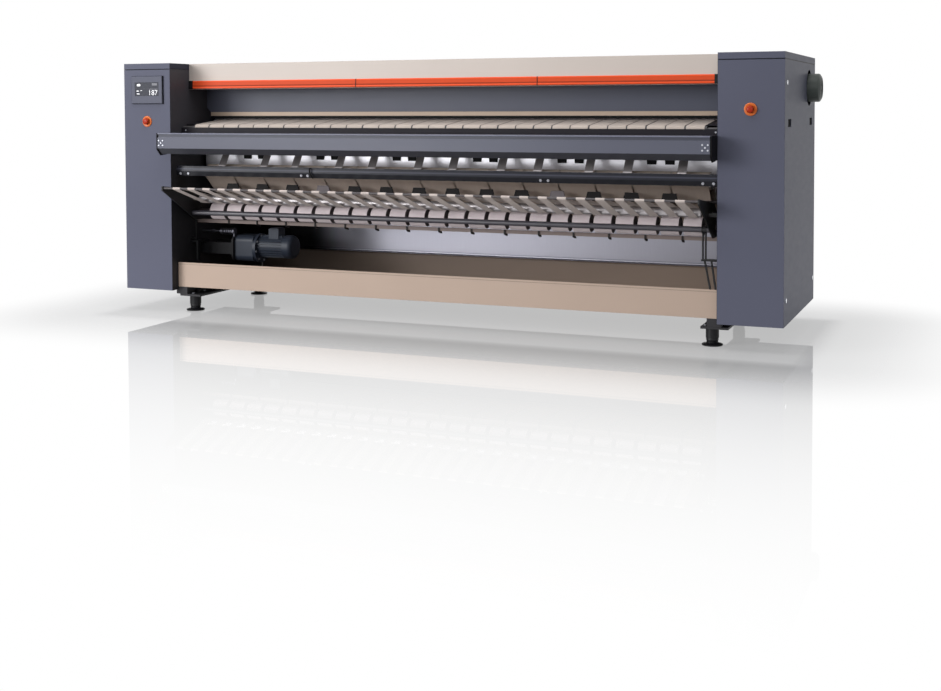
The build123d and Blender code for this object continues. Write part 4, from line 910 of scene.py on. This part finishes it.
# Painted shade: a shadow line under the trough's hem, and shade inside it that is deepest at the
# motor.
hem_drop, hem_shadow_half, front_sheet = 0.0115, 0.0014, 0.004
inside_shade_start, inside_shade_end = middle - 1.2, middle + 1.3
# Painted light on the liner: a highlight on its foot, shade in the crease, and a dark reflection
# by the motor.
foot_rise, crease_rise, dark_reflection_start, dark_reflection_end = 0.012, 0.02, middle - 1.28, middle - 0.92


def trough_painted_shade(paint, x, y, z):
    """Painted shadow in a thin line under the front edge's hem, and painted shade inside, darkest
    at the motor.
    """
    line = abs(z - (trough_high.z - hem_drop)) < hem_shadow_half
    inside = y > trough_low.y + front_sheet
    unshaded = paint.node("MapRange", {}, {0: x, 1: inside_shade_start, 2: inside_shade_end, 3: 0.4, 4: 0.75})
    return (1.0 - line * 0.45) * (1.0 - inside * (1.0 - unshaded))


def liner_painted_light(bright, x, y, z):
    """A painted highlight on the foot, painted shade in the crease, and a painted dark reflection
    by the motor.
    """
    foot = z < liner_low.z + foot_rise
    crease = (z < liner_low.z + crease_rise) - foot
    unshaded = bright.node("MapRange", smooth, {0: x, 1: dark_reflection_start, 2: dark_reflection_end, 3: 0.03, 4: 1.0})
    return (1.0 + foot * 0.9 - crease * 0.25) * unshaded


coat(powder_coat("trough_tan_paint", tint(186, 165, 150), 0.46, 0.25, trough_painted_shade), "trough")
coat(steel("liner_stainless", tint(160, 160, 171), 0.34, 0.1, (60.0, 60.0, 1.0), 0.9, liner_painted_light),
     "rear_liner")

# Gearmotor: a cast gearbox and a finned motor with its terminal box, in dark blue-grey enamel. It
# is bolted to a black welded frame.
motor_enamel = powder_coat("motor_enamel", tint(44, 50, 62), 0.46, 0.3)
coat(motor_enamel, "gearbox", "drive_motor")
coat(powder_coat("motor_frame_black", tint(20, 20, 23), 0.55, 0.2), "motor_frame")
box_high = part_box("gearbox")[1]
shaft_y, shaft_z = centre("gearbox")
bolt_circle, bolt_count, bolt_turn = 0.078, 8, 0.2
bolt_angles = np.linspace(0.0, 2 * math.pi, bolt_count, endpoint=False) + bolt_turn
bolt_places = [(box_high.x, shaft_y + bolt_circle * math.cos(angle),
                shaft_z + bolt_circle * math.sin(angle)) for angle in bolt_angles]
bolt_profile = [(0.0, 0.0075), (0.005, 0.0075), (0.0055, 0.0065), (0.0058, 0.0)]
zinc = steel("zinc_plate", tint(178, 180, 188), 0.42, metal=0.6)
piece("flange_bolts", [turned(bolt_profile, bolt_places, "x", 6)], zinc, "machine")
motor_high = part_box("drive_motor")[1]
terminal_x, terminal_length, terminal_width = middle - 1.202, 0.07, 0.08
lid_inset, lid_corner, lid_sunk, gland_ahead, gland_drop = 0.006, 0.008, 0.001, 0.02, 0.05
lid = carried(rounded_box(terminal_length - lid_inset, terminal_width - lid_inset, lid_corner),
              [0.0, 0.004, 0.006], [0.0, 0.0, 0.002],
              [(motor_high.z - lid_sunk, terminal_x + terminal_length / 2, shaft_y)], "z")
gland = turned([(0.0, 0.012), (0.008, 0.012), (0.009, 0.010), (0.018, 0.010), (0.020, 0.006)],
               [(terminal_x + terminal_length, shaft_y - gland_ahead,
                 motor_high.z - gland_drop)], "x", 16)
piece("terminal_lid", [lid, gland], motor_enamel, "machine")

# Air cylinder beside the gearbox: a ribbed barrel of cast aluminium on a small bracket. Its rod,
# with a hexagon nut, reaches to the side frame.
air_x, air_y, air_z = middle - 1.475, front + 0.33, 0.478
air_radius, groove_radius, rib_step, rib_lean = 0.021, 0.015, 0.0035, 0.0006
ribs = [(rib_step * n - 0.035 + rib_lean * (n % 4 > 1),
         air_radius if n % 4 in (1, 2) else groove_radius) for n in range(2, 20)]
barrel = [(-0.05, 0.012), (-0.049, air_radius), (-0.036, air_radius), (-0.035, 0.0165), *ribs,
          (0.035, 0.0165), (0.036, air_radius), (0.049, air_radius), (0.05, 0.012)]
rod = [(-0.189, 0.006), (-0.05, 0.006)]
nut = [(-0.12, 0.011), (-0.119, 0.012), (-0.098, 0.012), (-0.097, 0.008)]
air_place = [(air_x, air_y, air_z)]
bracket = carried(rounded_box(0.03, 0.05, 0.004), [0.046, 0.052], [0.0, 0.0],
                  [(air_x, air_y, air_z - 0.02)])
piece("air_cylinder", [turned(barrel, air_place, "x", 24), turned(rod, air_place, "x", 12),
                       turned(nut, air_place, "x", 6), bracket],
      steel("cast_aluminium", tint(96, 96, 104), 0.45), "machine")

# Exhaust fan: a galvanised housing and wheel inside the cabinet. Outside it stands the motor in a
# green-grey cover, a turned cap with ring-shaped grooves in its face.
coat(steel("galvanised_sheet", tint(186, 188, 190), 0.42, 0.16, (8.0, 8.0, 8.0)), "fan_housing",
     "fan_wheel")
fan_low, fan_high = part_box("fan_motor")
fan_y, fan_z = centre("fan_motor")
reach, cap_radius, neck_radius = fan_high.x - fan_low.x, 0.0785, 0.074
groove_depth, groove_pitch = 0.0035, 0.006
grooves = np.repeat(np.arange(0.056, 0.02, -groove_pitch), 2)
cap = [(0.0, neck_radius), (0.004, neck_radius), (reach - 0.085, neck_radius),
       (reach - 0.084, cap_radius), (reach - 0.016, cap_radius),
       (reach - 0.010, cap_radius - 0.002), (reach - 0.002, 0.064), (reach, 0.060),
       *[(reach - groove_depth * (n % 2 > 0), radius) for n, radius in enumerate(grooves)],
       (reach, 0.004)]
piece("fan_motor_cap", [turned(cap, [(fan_low.x, fan_y, fan_z)], "x", 48)],
      powder_coat("fan_motor_enamel", tint(58, 66, 62), 0.42, 0.4), "machine",
      ["fan_motor"], 25.0)

# Stop buttons: one on each cabinet's front, to stop the machine in an emergency. Each is a red
# moulded mushroom head on a stem that slides in an orange collar.
head_radius, stem_radius, head_sunk = 0.0195, 0.007, 0.004
collar_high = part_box("stop_collars")[1]
collar_radius = collar_high.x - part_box("stop_button_right")[1].x + head_radius
stop_red = moulded("stop_red", tint(172, 46, 14), 0.34, 0.2)
collar_places = []
for side in ("left", "right"):
    head_low, head_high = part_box("stop_button_" + side)
    head_x, head_z = (head_low.x + head_high.x) / 2, (head_low.z + head_high.z) / 2
    collar_places.append((front, head_x, head_z))
    face = head_low.y + head_sunk
    head = [(head_high.y - face, stem_radius), (0.015, stem_radius), (0.0145, 0.0165),
            (0.0125, 0.0192), (0.0085, head_radius), (0.004, 0.0182), (0.0015, 0.0145),
            (0.0003, 0.009), (0.0, 0.003)]
    piece("stop_head_" + side, [turned(head, [(face, head_x, head_z)], "y", 40)], stop_red,
          "stop_" + side, ["stop_button_" + side], 50.0)
rim = [(collar_high.y - front, 0.0138), (0.0, 0.014), (-0.0001, collar_radius),
       (-0.0035, collar_radius), (-0.0058, collar_radius - 0.003),
       (-0.006, collar_radius - 0.006), (-0.0045, collar_radius - 0.010), (-0.004, 0.0075)]
piece("collar_rims", [turned(rim, collar_places, "y", 48)],
      moulded("collar_orange", tint(222, 112, 46), 0.36), "machine",
      ["stop_collars"], 40.0)

# Display: a grey bezel with a glossy dark screen; the bezel's sides behind its front rim are black
# with painted shade. The screen shows four white signs, two grey fields and a plain number.
bezel_low, bezel_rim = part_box("display_housing")[0], 0.003


def bezel_side_shade(paint, x, y, z):
    """Painted shade: black on the bezel's sides behind its front rim."""
    return 1.0 - (y > bezel_low.y + bezel_rim) * 0.97


coat(moulded("bezel_grey", tint(92, 94, 108), 0.45, 0.15, bezel_side_shade), "display_housing")
coat(moulded("screen_gloss", tint(56, 58, 68), 0.3, 0.12), "display_screen")
screen_low, screen_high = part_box("display_screen")
glow_white, sign_white = Finish("screen_white"), tint(240, 240, 244)
lines = glow_white.noise(glow_white.place(), 900.0, 1.0)
signs = glow_white.surface(base_color=glow_white.shaded(sign_white, 0.96 + lines * 0.04),
                           roughness=0.5, emission_color=sign_white, emission_strength=0.25)
sheet_lift = (screen_low.y - 0.0004, screen_low.y + 0.0002)
width, height = screen_high.x - screen_low.x, screen_high.z - screen_low.z


def sign(left, top, wide, high, radius):
    """A flat rounded sign on the screen, placed by shares of the screen's width and height."""
    return carried(rounded_box(wide * width, high * height, radius), sheet_lift, [0.0, 0.0],
                   [(0.0, screen_low.x + left * width, screen_high.z - top * height)], "y")


piece("screen_signs", [sign(0.15, 0.2, 0.15, 0.17, 0.006), sign(0.11, 0.63, 0.1, 0.07, 0.002),
                       sign(0.26, 0.6, 0.06, 0.05, 0.002), sign(0.13, 0.84, 0.12, 0.07, 0.002)],
      signs, "machine")
piece("screen_fields", [sign(0.82, 0.15, 0.22, 0.16, 0.002), sign(0.78, 0.5, 0.36, 0.05, 0.002)],
      moulded("screen_grey", tint(104, 105, 114), 0.3), "machine")
number = bpy.data.curves.new("temperature", "FONT")
number.body = "187"
digit_share, capital_share, digit_spread = 0.36, 0.7, 1.08
number.size = digit_share * height / capital_share
number.extrude = 0.0003
number.align_x = "CENTER"
shown = bpy.data.objects.new("temperature", number)
number_mesh = bpy.data.meshes.new_from_object(shown)
bpy.data.objects.remove(shown)
number_mesh.transform(Matrix(((digit_spread, 0.0, 0.0, screen_low.x + 0.75 * width),
                              (0.0, 0.0, -1.0, screen_low.y - 0.0001),
                              (0.0, 1.0, 0.0, screen_high.z - 0.93 * height),
                              (0.0, 0.0, 0.0, 1.0))))
declare(number_mesh, "screen_number", signs, "machine")

# Fasteners: zinc-plated hexagon heads on the beam, rail, apron, side frames and bearings, and
# chromed heads on the side panels' quarter-turn locks.
coat(zinc, "frame_bolts")
coat(steel("lock_chrome", tint(238, 240, 246), 0.16, 0.04), "panel_locks")
